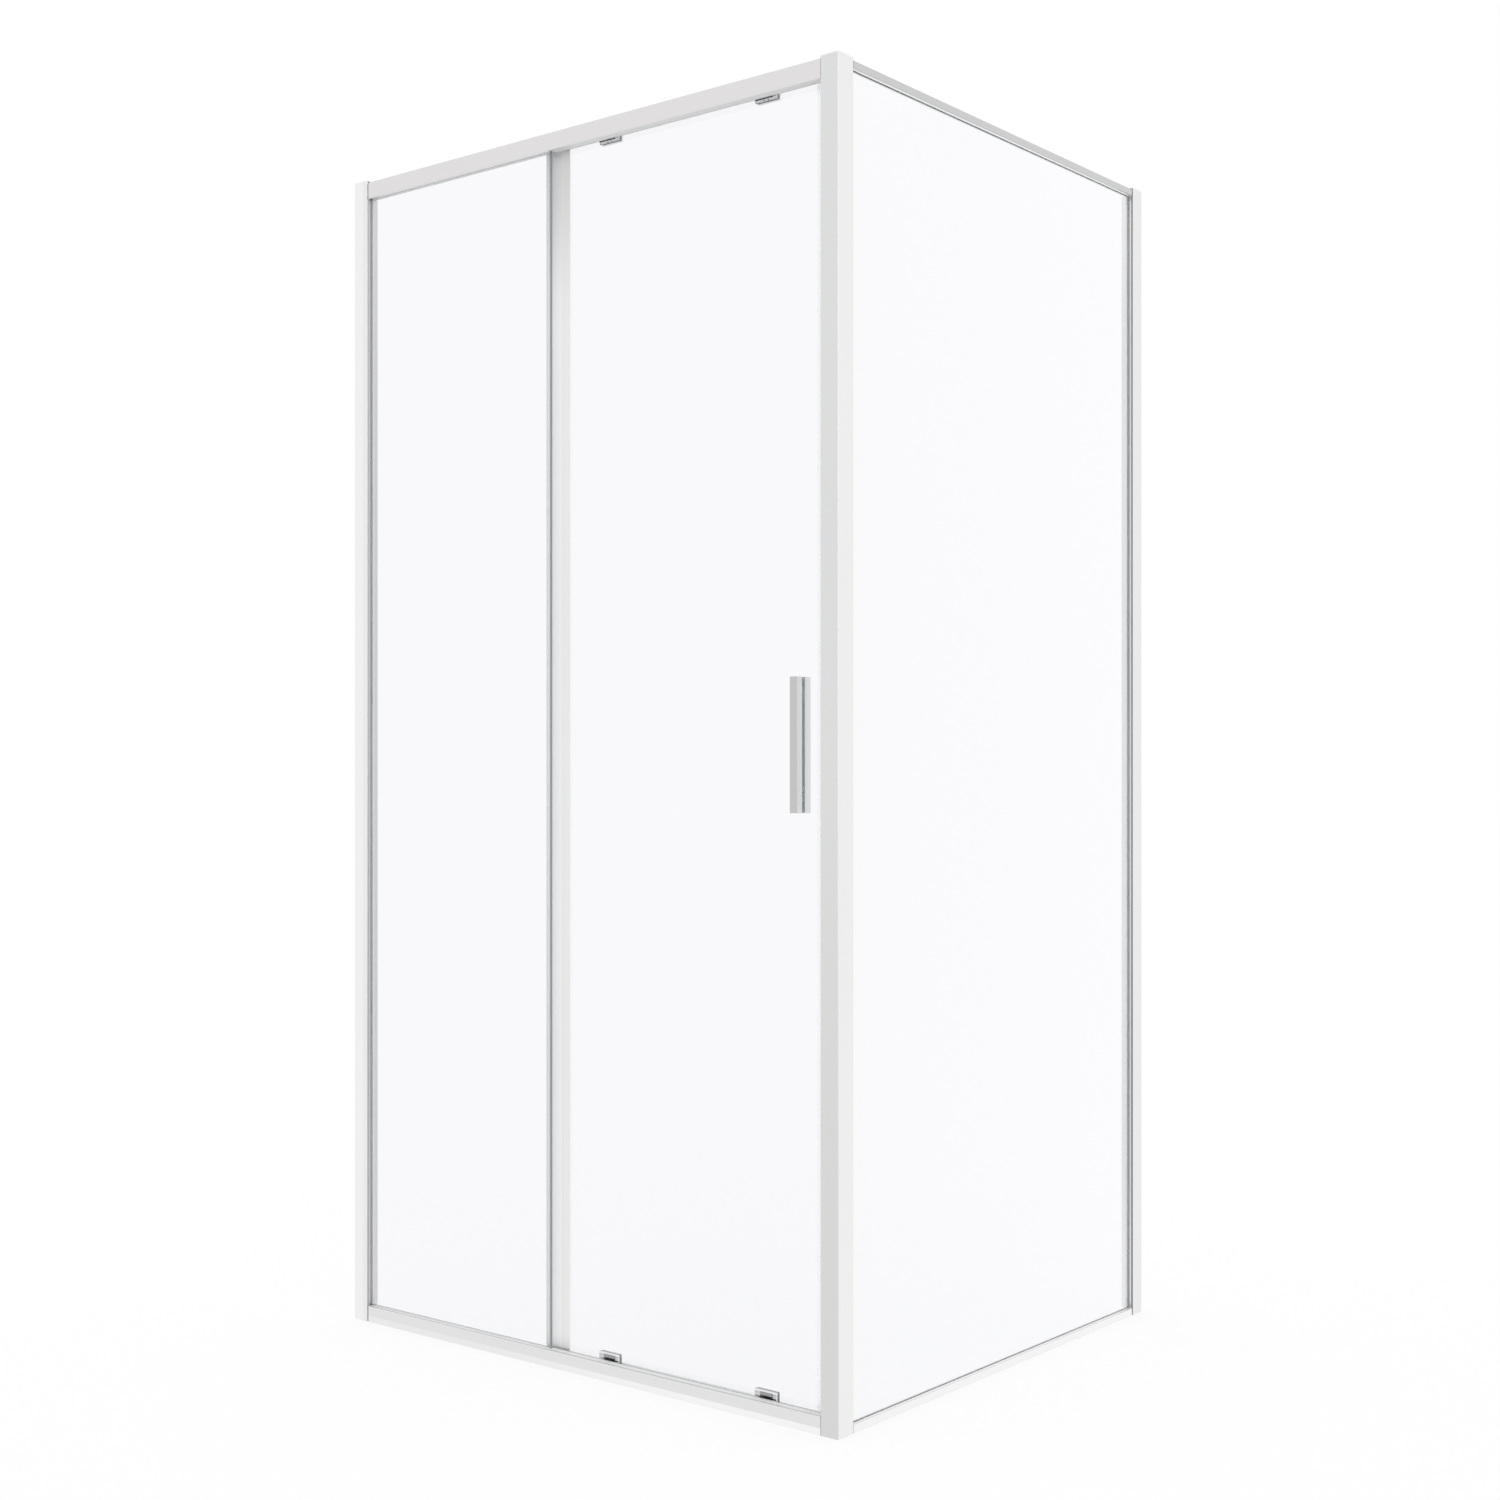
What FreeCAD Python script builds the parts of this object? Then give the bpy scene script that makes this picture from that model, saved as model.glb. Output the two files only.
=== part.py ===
import FreeCAD, Part
import Sketcher
import os
from types import SimpleNamespace

# Corner shower enclosure: a fixed pane and a sliding door in front, a fixed pane at the side.
# +X runs to the right along the front, +Y goes from the front to the back wall, +Z is up.
# The origin is the middle of the footprint, on the floor.

DRIVING = {
    # the whole enclosure
    "width": 990.0,
    "depth": 885.0,
    "height": 1900.0,
    "glass": 5.0,
    "pane_set_back": 7.0,
    "cap": 1.5,
    # corner post
    "post_face": 30.0,
    "post_side": 36.5,
    "post_skin": 2.0,
    "post_corner_radius": 1.2,
    "post_slot_depth": 20.0,
    "post_gasket_deep": 10.0,
    "plug_tall": 3.0,
    "plug_gap": 0.3,
    # wall profiles and the stiles that slide into them
    "wall_face": 30.5,
    "wall_depth": 19.0,
    "wall_skin": 1.6,
    "wall_web": 2.0,
    "wall_hole_radius": 2.75,
    "wall_hole_low": 200.0,
    "wall_hole_pitch": 750.0,
    "hole_overcut": 0.5,
    "stile_start": 5.0,
    "stile_front": 1.9,
    "stile_rear": 17.0,
    "stile_lip_rear": 21.3,
    "stile_skin": 1.6,
    "stile_gap": 3.5,
    "stile_lip": 1.5,
    "stile_outer_lip": 2.3,
    "slot_front": 4.6,
    "slot_rear": 14.0,
    "slot_bottom": 17.0,
    "pane_from_slot": 6.0,
    "gasket_from_slot": 9.0,
    "gasket_gap": 0.2,
    "frame_screw_along": 20.5,
    "frame_screw_radius": 1.9,
    "frame_screw_head": 4.0,
    "frame_screw_length": 6.5,
    "frame_screw_head_thick": 2.2,
    "frame_screw_above_hole": 50.0,
    # rails
    "rail_drop": 4.0,
    "rail_skin": 2.2,
    "rail_rear_skin": 2.0,
    "top_rail_height": 27.0,
    "top_rail_depth": 18.5,
    "top_slot_height": 14.0,
    "cover_depth": 36.0,
    "cover_skirt_height": 12.0,
    "cover_skirt_thick": 1.7,
    "ledge_depth": 7.5,
    "ledge_low": 5.7,
    "ledge_thick": 2.3,
    "bottom_rail_height": 26.8,
    "bottom_rail_depth": 16.5,
    "bottom_slot_floor": 12.0,
    "skirt_height": 10.0,
    "skirt_thick": 1.7,
    "track_wide": 13.5,
    "track_fin": 1.7,
    "track_fin_height": 12.5,
    "side_top_height": 10.5,
    "side_bottom_height": 12.0,
    "side_rail_depth": 14.0,
    "side_rail_rear_skin": 1.2,
    "side_slot_floor": 2.5,
    "strip_tall": 6.5,
    "side_strip_tall": 6.0,
    "strip_recess": 0.4,
    "infill_gap": 3.5,
    "block_long": 30.0,
    "block_tall": 2.0,
    "connector_reach": 22.0,
    "rail_screw_grip": 14.0,
    "rail_screw_radius": 2.0,
    "rail_screw_head": 4.0,
    "rail_screw_head_thick": 2.4,
    "pane_bite": 12.0,
    "fit_gap": 0.1,
    # door
    "door_set_back": 21.0,
    "door_glass_left": 449.0,
    "door_glass_right": 43.0,
    "door_glass_low": 20.0,
    "door_glass_high": 27.5,
    "door_travel": 370.0,
    "fixed_pane_right": 442.5,
    "door_stile_left": 426.6,
    "door_stile_face": 45.2,
    "door_stile_depth": 11.2,
    "door_stile_front": 18.8,
    "door_stile_skin": 1.6,
    "door_stile_flat": 32.2,
    "door_stile_groove": 0.35,
    "door_stile_groove_wide": 0.9,
    "door_stile_rear_short": 9.0,
    "glass_slot_gap": 0.2,
    "fin_thick": 0.9,
    "fin_foot": 5.0,
    "magnet_grip": 6.0,
    "magnet_skin": 1.3,
    "magnet_wide": 5.7,
    "sweep_tall": 8.0,
    "sweep_skin": 0.7,
    "sweep_sole": 2.3,
    # carriages above and guides below
    "fitting_wide": 39.0,
    "fitting_front": 19.0,
    "fitting_skin": 2.0,
    "fitting_left": 553.0,
    "fitting_right": 850.5,
    "fitting_lip": 4.8,
    "fitting_body": 28.3,
    "carriage_low": 35.8,
    "carriage_height": 26.8,
    "carriage_body_depth": 4.2,
    "carriage_slope": 3.5,
    "carriage_window_low": 3.7,
    "carriage_window_tall": 2.5,
    "carriage_window_start": 1.5,
    "clamp_screw_radius": 1.1,
    "clamp_screw_across": 3.4,
    "clamp_screw_first": 14.6,
    "clamp_screw_pitch": 7.3,
    "clamp_screw_top": 6.5,
    "carriage_flange": 1.6,
    "wheel_radius": 7.9,
    "wheel_wide": 5.0,
    "wheel_bore": 2.55,
    "wheel_spread": 11.0,
    "wheel_from_front": 1.6,
    "wheel_bevel": 0.6,
    "axle_radius": 2.5,
    "axle_head": 3.8,
    "axle_head_thick": 1.3,
    "guide_top": 36.5,
    "guide_flange": 1.5,
    "guide_body_depth": 4.2,
    "guide_foot": 13.6,
    "guide_foot_thick": 6.0,
    "guide_foot_front": 19.5,
    "window_rim": 0.6,
    "liner_recess": 0.3,
    "liner_room": 3.0,
    "liner_room_deep": 3.5,
    "roller_radius": 6.45,
    "roller_bore": 2.05,
    "roller_low": 4.5,
    "roller_tall": 7.8,
    "pin_radius": 2.0,
    "pin_head": 3.4,
    "pin_head_thick": 1.3,
    "pin_below_roller": 0.3,
    "window_start": 10.0,
    "window_wide": 22.5,
    "tab_travel": 2.0,
    "tab_clear": 0.4,
    "tab_proud": 0.6,
    "tab_thick": 2.2,
    "tab_stem": 3.2,
    "tab_stem_inset": 3.0,
    # end stops
    "stop_wide": 12.0,
    "stop_tall": 12.0,
    "stop_gap": 0.3,
    # handle
    "handle_from_left": 901.6,
    "handle_wide": 13.8,
    "handle_front": 7.5,
    "handle_outer_depth": 11.0,
    "handle_inner_depth": 14.0,
    "handle_low": 856.0,
    "handle_tall": 191.0,
    "handle_screw_pitch": 137.5,
    "handle_screw_radius": 2.5,
    "handle_pad_wide": 10.0,
    "handle_pad_tall": 24.0,
    "handle_pad_thick": 2.5,
    "handle_hole_radius": 5.0,
    "handle_blind": 5.0,
    "handle_inner_gap": 1.0,
    "handle_recess": 2.0,
    "edge_radius": 0.8,
    "small_radius": 0.5,
}

doc = FreeCAD.newDocument("ShowerEnclosure")
sheet = doc.addObject("Spreadsheet::Sheet", "Dims")
sub_parts = []


class Size:
    """A length that keeps its number together with the sheet expression that gives it."""

    def __init__(self, number, text):
        self.number = number
        self.text = text

    def combine(self, sign, other, number):
        return Size(number, "(%s %s %s)" % (self.text, sign, other.text))

    def __add__(self, other):
        other = size(other)
        return self.combine("+", other, self.number + other.number)

    def __sub__(self, other):
        other = size(other)
        return self.combine("-", other, self.number - other.number)

    def __mul__(self, factor):
        factor = size(factor)
        return self.combine("*", factor, self.number * factor.number)

    def __truediv__(self, divisor):
        divisor = size(divisor)
        return self.combine("/", divisor, self.number / divisor.number)

    def __neg__(self):
        return size(0) - self


def size(value):
    if isinstance(value, Size):
        return value
    return Size(float(value), "(%s)" % float(value))


def fill_sheet():
    """Write the driving dimensions to the sheet, one named cell each."""
    named = {}
    for row, (name, number) in enumerate(DRIVING.items(), start=1):
        sheet.set("A%d" % row, name)
        sheet.set("B%d" % row, str(number))
        sheet.setAlias("B%d" % row, name)
        named[name] = Size(number, "Dims.%s" % name)
    doc.recompute()
    return SimpleNamespace(**named)


dim = fill_sheet()

# Faces of the whole enclosure.
LEFT = -(dim.width / 2)
RIGHT = dim.width / 2
FRONT = -(dim.depth / 2)
BACK = dim.depth / 2
RAIL_TOP = dim.height - dim.rail_drop

# Where the rails and the post begin.
RAIL_LEFT = LEFT + dim.wall_face + dim.stile_gap
POST_LEFT = RIGHT - dim.post_face
SIDE_RAIL_FRONT = FRONT + dim.post_side
SIDE_RAIL_BACK = BACK - dim.wall_face - dim.stile_gap

# Turns a profile of the front upside down and round the corner, to the back wall.
TO_THE_SIDE = FreeCAD.Rotation(FreeCAD.Vector(1, -1, 0), 180)
ALONG_Y = FreeCAD.Rotation(FreeCAD.Vector(1, 0, 0), -90)
ALONG_X = FreeCAD.Rotation(FreeCAD.Vector(0, 1, 0), 90)


def move(thing, at, turn=None):
    """Put an object's own origin at a point whose coordinates stay bound to the sheet."""
    if turn is not None:
        thing.Placement = FreeCAD.Placement(FreeCAD.Vector(0, 0, 0), turn)
    for axis, value in zip("xyz", at):
        thing.setExpression("Placement.Base." + axis, size(value).text)


def keep(thing, label):
    thing.Label = label
    sub_parts.append(thing)
    return thing


def bind_point(sketch, geometry, position, x, y):
    """Tie one point of a sketch to its coordinates."""
    for kind, axis, value in (("DistanceX", -2, size(x)), ("DistanceY", -1, size(y))):
        if value.number == 0:
            sketch.addConstraint(Sketcher.Constraint("PointOnObject", geometry, position, axis))
            continue
        given = Sketcher.Constraint(kind, -1, 1, geometry, position, value.number)
        index = sketch.addConstraint(given)
        sketch.setExpression("Constraints[%d]" % index, value.text)


def add_loop(sketch, corners):
    """Draw a closed outline of straight edges through the corners."""
    first = sketch.GeometryCount
    count = len(corners)
    points = [FreeCAD.Vector(size(x).number, size(y).number, 0) for x, y in corners]
    for index in range(count):
        edge = Part.LineSegment(points[index], points[(index + 1) % count])
        sketch.addGeometry(edge, False)
    for index in range(count):
        after = first + (index + 1) % count
        sketch.addConstraint(Sketcher.Constraint("Coincident", first + index, 2, after, 1))
    for index, (x, y) in enumerate(corners):
        bind_point(sketch, first + index, 1, x, y)


def add_circle(sketch, x, y, radius):
    centre = FreeCAD.Vector(size(x).number, size(y).number, 0)
    circle = Part.Circle(centre, FreeCAD.Vector(0, 0, 1), size(radius).number)
    geometry = sketch.addGeometry(circle, False)
    given = Sketcher.Constraint("Radius", geometry, size(radius).number)
    index = sketch.addConstraint(given)
    sketch.setExpression("Constraints[%d]" % index, size(radius).text)
    bind_point(sketch, geometry, 3, x, y)


def draw(body, plane, loops, circles=(), offset=None):
    """A sketch on one of the body's own planes, or set off from it along the plane's normal."""
    sketch = body.newObject("Sketcher::SketchObject", body.Name + "_sketch")
    support = [item for item in body.Origin.OriginFeatures if item.Role == plane][0]
    sketch.AttachmentSupport = (support, [""])
    sketch.MapMode = "FlatFace"
    if offset is not None:
        sketch.setExpression("AttachmentOffset.Base.z", size(offset).text)
    for corners in loops:
        add_loop(sketch, corners)
    for x, y, radius in circles:
        add_circle(sketch, x, y, radius)
    return sketch


def rectangle(x0, y0, x1, y1):
    return [(x0, y0), (x1, y0), (x1, y1), (x0, y1)]


def extrude(label, plane, loops, length, at, circles=(), turn=None):
    """A body padded from its section: up from XY, to the right from YZ, to the back from XZ."""
    body = doc.addObject("PartDesign::Body", label)
    sketch = draw(body, plane, loops, circles)
    pad = body.newObject("PartDesign::Pad", label + "_pad")
    pad.Profile = sketch
    pad.Reversed = plane == "XZ_Plane"
    pad.setExpression("Length", size(length).text)
    sketch.Visibility = False
    move(body, at, turn)
    doc.recompute()
    return keep(body, label)


def pocket(body, plane, length, loops=(), circles=(), offset=None, back=False):
    """Cut from a plane into the body: up, to the right or to the back, or the other way."""
    before = body.Shape.Volume
    sketch = draw(body, plane, loops, circles, offset)
    cut = body.newObject("PartDesign::Pocket", body.Name + "_pocket")
    cut.Profile = sketch
    cut.Reversed = (plane != "XZ_Plane") != back
    cut.setExpression("Length", size(length).text)
    doc.recompute()
    if not body.Shape.Volume < before:
        raise ValueError("the pocket in %s cuts nothing" % body.Label)
    return cut


def round_edges(body, radius, chosen):
    """Round the edges that the test picks, given an edge's middle and its direction."""
    base = body.Tip
    names = []
    for index, edge in enumerate(base.Shape.Edges, start=1):
        if edge.Curve.TypeId != "Part::GeomLine":
            continue
        middle = edge.valueAt((edge.FirstParameter + edge.LastParameter) / 2)
        if chosen(middle, edge.Curve.Direction):
            names.append("Edge%d" % index)
    if not names:
        raise ValueError("no edge to round on %s" % body.Label)
    rounded = body.newObject("PartDesign::Fillet", body.Name + "_round")
    rounded.Base = (base, names)
    rounded.setExpression("Radius", size(radius).text)
    doc.recompute()


def box(name, at, extent):
    block = doc.addObject("Part::Box", name)
    for side, value in zip(("Length", "Width", "Height"), extent):
        block.setExpression(side, size(value).text)
    move(block, at)
    return block


def rod(name, at, radius, length, turn=None):
    cylinder = doc.addObject("Part::Cylinder", name)
    cylinder.setExpression("Radius", size(radius).text)
    cylinder.setExpression("Height", size(length).text)
    move(cylinder, at, turn)
    return cylinder


def join(name, pieces):
    fused = doc.addObject("Part::MultiFuse", name)
    fused.Shapes = pieces
    return fused


def cut_out(name, base, tool):
    result = doc.addObject("Part::Cut", name)
    result.Base = base
    result.Tool = tool
    return result


def group(label, pieces):
    """Pieces of one kind that share a node and stay separate solids."""
    together = doc.addObject("Part::Compound", label)
    together.Links = pieces
    return keep(together, label)


def near(value, target):
    return abs(value - size(target).number) < 0.01


# Wall profiles, stiles and their screws. Both are drawn from the wall: along is the distance
# from it, across the distance inwards from the outer face of the enclosure.


def wall_holes():
    heights = [dim.wall_hole_low + dim.wall_hole_pitch * step for step in range(3)]
    return [(dim.wall_depth / 2, height, dim.wall_hole_radius) for height in heights]


def frame_screw_heights():
    low = dim.wall_hole_low + dim.frame_screw_above_hole
    pitch = dim.wall_hole_pitch - dim.frame_screw_above_hole
    return [low + pitch * step for step in range(3)]


def wall_profile(label, at, turn=None):
    far = dim.wall_depth - dim.wall_skin
    section = [
        (0, 0),
        (dim.wall_face, 0),
        (dim.wall_face, dim.wall_skin),
        (dim.wall_web, dim.wall_skin),
        (dim.wall_web, far),
        (dim.wall_face, far),
        (dim.wall_face, dim.wall_depth),
        (0, dim.wall_depth),
    ]
    body = extrude(label, "XY_Plane", [section], dim.height - dim.cap, at, turn=turn)
    pocket(body, "YZ_Plane", dim.wall_web + dim.hole_overcut, circles=wall_holes())
    screw_holes = [(dim.frame_screw_along, z, dim.frame_screw_radius + dim.fit_gap)
                   for z in frame_screw_heights()]
    pocket(body, "XZ_Plane", dim.wall_skin + dim.hole_overcut, circles=screw_holes,
           offset=-dim.wall_depth, back=True)
    round_edges(body, dim.edge_radius, lambda middle, way: abs(way.z) > 0.9
                and near(middle.x, dim.wall_face) and near(middle.y, 0))


def stile(label, at, turn=None):
    outer_end = dim.wall_face + dim.stile_outer_lip
    lip_start = dim.wall_face + dim.stile_gap
    end = lip_start + dim.stile_lip
    section = [
        (dim.stile_start, dim.stile_front),
        (outer_end, dim.stile_front),
        (outer_end, dim.slot_front),
        (dim.slot_bottom, dim.slot_front),
        (dim.slot_bottom, dim.slot_rear),
        (end, dim.slot_rear),
        (end, dim.stile_lip_rear),
        (lip_start, dim.stile_lip_rear),
        (lip_start, dim.stile_rear),
        (dim.stile_start, dim.stile_rear),
    ]
    hollow = rectangle(dim.stile_start + dim.stile_skin, dim.stile_front + dim.stile_skin,
                       dim.slot_bottom - dim.stile_skin, dim.stile_rear - dim.stile_skin)
    body = extrude(label, "XY_Plane", [section, hollow], RAIL_TOP, at, turn=turn)
    return body, end


def notch_stile(body, end, low, high, lowered=0):
    """Clear the glazing lips where the rails butt against the stile."""
    start = dim.wall_face + dim.stile_gap
    loops = [rectangle(start, 0, end + 1, low), rectangle(start, high, end + 1, RAIL_TOP + 1)]
    pocket(body, "XZ_Plane", dim.stile_lip_rear + 1, loops=loops)
    screw_holes = [(dim.frame_screw_along, z - lowered, dim.frame_screw_radius + dim.fit_gap)
                   for z in frame_screw_heights()]
    depth = dim.stile_rear - dim.slot_rear + dim.gasket_gap
    pocket(body, "XZ_Plane", depth, circles=screw_holes, offset=-dim.stile_rear, back=True)


def frame_screws():
    """Screws that lock each stile in its wall profile, from inside the shower."""
    pieces = []
    head_thick = dim.frame_screw_head_thick
    shank = dim.frame_screw_length
    for number, height in enumerate(frame_screw_heights()):
        along = LEFT + dim.frame_screw_along
        seat = FRONT + dim.wall_depth
        body = rod("front_shank_%d" % number, (along, seat - shank, height),
                   dim.frame_screw_radius, shank, ALONG_Y)
        head = rod("front_head_%d" % number, (along, seat, height),
                   dim.frame_screw_head, head_thick, ALONG_Y)
        pieces.append(join("front_screw_%d" % number, [body, head]))
        across = BACK - dim.frame_screw_along
        side_seat = RIGHT - dim.wall_depth
        turned = RAIL_TOP - height + dim.rail_drop - dim.cap
        body = rod("side_shank_%d" % number, (side_seat, across, turned),
                   dim.frame_screw_radius, shank, ALONG_X)
        head = rod("side_head_%d" % number, (side_seat - head_thick, across, turned),
                   dim.frame_screw_head, head_thick, ALONG_X)
        pieces.append(join("side_screw_%d" % number, [body, head]))
    group("frame_screws", pieces)


def wall_frames():
    wall_profile("wall_profile_front", (LEFT, FRONT, 0))
    wall_profile("wall_profile_side", (RIGHT, BACK, dim.height - dim.cap), TO_THE_SIDE)
    body, end = stile("frame_stile_front", (LEFT, FRONT, 0))
    notch_stile(body, end, dim.bottom_rail_height, RAIL_TOP - dim.top_rail_height)
    # The side stile stands on its head, so its heights count down from the rail's top.
    body, end = stile("frame_stile_side", (RIGHT, BACK, RAIL_TOP), TO_THE_SIDE)
    notch_stile(body, end, dim.side_top_height, RAIL_TOP - dim.side_bottom_height,
                dim.rail_drop - dim.cap)
    frame_screws()
    front = box("wall_cap_front", (LEFT, FRONT, dim.height - dim.cap),
                (dim.wall_face, dim.wall_depth, dim.cap))
    side = box("wall_cap_side",
               (RIGHT - dim.wall_depth, BACK - dim.wall_face, dim.height - dim.cap),
               (dim.wall_depth, dim.wall_face, dim.cap))
    group("wall_profile_caps", [front, side])


# Corner post.


def post():
    wide = dim.post_face
    deep = dim.post_side
    skin = dim.post_skin
    slot_right = wide - dim.slot_front
    slot_left = wide - dim.slot_rear
    slot_front = deep - dim.post_slot_depth
    section = [
        (0, 0),
        (wide, 0),
        (wide, deep),
        (slot_right, deep),
        (slot_right, slot_front),
        (slot_left, slot_front),
        (slot_left, deep),
        (0, deep),
    ]
    hollow_left = rectangle(skin, skin, slot_left - skin, deep - skin)
    hollow_right = rectangle(slot_left, skin, wide - skin, slot_front - skin)
    body = extrude("corner_post", "XY_Plane", [section, hollow_left, hollow_right],
                   dim.height - dim.cap, (POST_LEFT, FRONT, 0))
    holes = [(rail_screw_across(), height, dim.rail_screw_radius + dim.fit_gap)
             for height in rail_screw_heights()]
    pocket(body, "YZ_Plane", skin + dim.hole_overcut, circles=holes)
    round_edges(body, dim.post_corner_radius, lambda middle, way: abs(way.z) > 0.9
                and (near(middle.x, 0) or near(middle.x, wide))
                and (near(middle.y, 0) or near(middle.y, deep)))
    plate = box("post_cap_plate", (POST_LEFT, FRONT, dim.height - dim.cap),
                (wide, deep, dim.cap))
    inset = skin + dim.plug_gap
    plug = box("post_cap_plug",
               (POST_LEFT + inset, FRONT + inset, dim.height - dim.cap - dim.plug_tall),
               (slot_left - skin - inset - dim.plug_gap, deep - inset * 2, dim.plug_tall))
    keep(join("corner_post_cap", [plate, plug]), "corner_post_cap")


# Rails of the front. Their sections are drawn in Y and Z and run to the right.


def rail_screw_across():
    return dim.pane_set_back + dim.glass / 2


def rail_screw_heights():
    bottom_chamber = (dim.rail_rear_skin + dim.skirt_height) / 2
    top_chamber = RAIL_TOP - (dim.top_rail_height - dim.top_slot_height) / 2
    return [bottom_chamber, top_chamber]


def top_rail():
    tall = dim.top_rail_height
    deep = dim.top_rail_depth
    skin = dim.rail_skin
    rear = deep - dim.rail_rear_skin
    ledge_top = dim.ledge_low + dim.ledge_thick
    cover_low = tall - skin
    skirt_low = tall - dim.cover_skirt_height
    skirt_in = dim.cover_depth - dim.cover_skirt_thick
    section = [
        (0, 0),
        (skin, 0),
        (skin, dim.top_slot_height),
        (rear, dim.top_slot_height),
        (rear, 0),
        (deep, 0),
        (deep, dim.ledge_low),
        (deep + dim.ledge_depth, dim.ledge_low),
        (deep + dim.ledge_depth, ledge_top),
        (deep, ledge_top),
        (deep, cover_low),
        (skirt_in, cover_low),
        (skirt_in, skirt_low),
        (dim.cover_depth, skirt_low),
        (dim.cover_depth, tall),
        (0, tall),
    ]
    chamber = rectangle(skin, dim.top_slot_height + skin, rear, cover_low)
    body = extrude("top_rail", "YZ_Plane", [section, chamber], POST_LEFT - RAIL_LEFT,
                   (RAIL_LEFT, FRONT, RAIL_TOP - tall))
    round_edges(body, dim.edge_radius, lambda middle, way: abs(way.x) > 0.9
                and near(middle.y, 0))


def bottom_rail():
    tall = dim.bottom_rail_height
    deep = dim.bottom_rail_depth
    skin = dim.rail_skin
    rear = deep - dim.rail_rear_skin
    floor = dim.rail_rear_skin
    shelf = dim.skirt_height
    front = dim.skirt_thick
    track_rear = deep + dim.track_wide
    section = [
        (front, 0),
        (track_rear + dim.track_fin, 0),
        (track_rear + dim.track_fin, dim.track_fin_height),
        (track_rear, dim.track_fin_height),
        (track_rear, floor),
        (deep, floor),
        (deep, tall),
        (rear, tall),
        (rear, dim.bottom_slot_floor),
        (skin, dim.bottom_slot_floor),
        (skin, tall),
        (0, tall),
        (0, shelf),
        (front, shelf),
    ]
    chamber = rectangle(front + skin, floor, rear, shelf)
    body = extrude("bottom_rail", "YZ_Plane", [section, chamber], POST_LEFT - RAIL_LEFT,
                   (RAIL_LEFT, FRONT, 0))
    round_edges(body, dim.edge_radius, lambda middle, way: abs(way.x) > 0.9
                and near(middle.y, 0) and near(middle.z, tall))
    skirt = rectangle(0, 0, front, shelf)
    extrude("bottom_rail_skirt", "YZ_Plane", [skirt], POST_LEFT - RAIL_LEFT,
            (RAIL_LEFT, FRONT, 0))


def strips_in_front_rails():
    """Glazing strips beside the fixed pane, and the infill that closes the slot by the door."""
    gap = dim.fit_gap
    pane_right = LEFT + dim.fixed_pane_right
    pane_length = pane_right - RAIL_LEFT
    pane_rear = dim.pane_set_back + dim.glass
    tall = dim.strip_tall
    low = dim.bottom_rail_height - dim.strip_recess - tall
    lower = (dim.bottom_rail_depth - dim.rail_rear_skin, low, gap, "bottom")
    low = RAIL_TOP - dim.top_rail_height + dim.strip_recess
    upper = (dim.top_rail_depth - dim.rail_rear_skin, low, dim.infill_gap, "top")
    for rear, low, beside_pane, name in (lower, upper):
        front_strip = box("pane_front_strip_" + name, (RAIL_LEFT, FRONT + dim.rail_skin + gap, low),
                          (pane_length, dim.pane_set_back - dim.rail_skin - gap, tall))
        rear_strip = box("pane_rear_strip_" + name, (RAIL_LEFT, FRONT + pane_rear, low),
                         (pane_length, rear - pane_rear - gap, tall))
        group("fixed_pane_gasket_" + name, [front_strip, rear_strip])
        start = pane_right + beside_pane
        infill = box(name + "_rail_infill", (start, FRONT + dim.rail_skin + gap, low),
                     (POST_LEFT - start, rear - dim.rail_skin - gap * 2, tall))
        keep(infill, name + "_rail_infill")


def rail_connectors():
    """Blocks in the rails' chambers: screwed to the post, and plugged into the stile's slot."""
    gap = dim.fit_gap
    across = dim.slot_front + gap
    wide = dim.slot_rear - dim.slot_front - gap * 2
    low_bottom = dim.rail_rear_skin + gap
    low_top = RAIL_TOP - dim.top_rail_height + dim.top_slot_height + dim.rail_skin + gap
    tall_bottom = dim.skirt_height - dim.rail_rear_skin - gap * 2
    tall_top = dim.top_rail_height - dim.top_slot_height - dim.rail_skin * 2 - gap * 2
    levels = ((low_bottom, tall_bottom, "bottom"), (low_top, tall_top, "top"))
    reach = dim.connector_reach
    grip = dim.rail_screw_grip
    screw_across = FRONT + rail_screw_across()
    blocks = []
    screws = []
    for (low, tall, name), height in zip(levels, rail_screw_heights()):
        start = LEFT + dim.slot_bottom + gap
        stile_end = RAIL_LEFT + reach - start
        blocks.append(box("stile_connector_" + name, (start, FRONT + across, low),
                          (stile_end, wide, tall)))
        block = box("post_connector_solid_" + name, (POST_LEFT - reach, FRONT + across, low),
                    (reach, wide, tall))
        hole = rod("post_connector_hole_" + name, (POST_LEFT - reach * 2, screw_across, height),
                   dim.rail_screw_radius + gap, reach * 3, ALONG_X)
        blocks.append(cut_out("post_connector_" + name, block, hole))
        shank = rod("rail_screw_shank_" + name, (POST_LEFT - grip, screw_across, height),
                    dim.rail_screw_radius, dim.post_skin + grip, ALONG_X)
        head = rod("rail_screw_head_" + name, (POST_LEFT + dim.post_skin, screw_across, height),
                   dim.rail_screw_head, dim.rail_screw_head_thick, ALONG_X)
        screws.append(join("rail_screw_" + name, [shank, head]))
    group("rail_connectors", blocks)
    group("rail_screws", screws)


# Side rails, panes and the strips that hold them.


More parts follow.
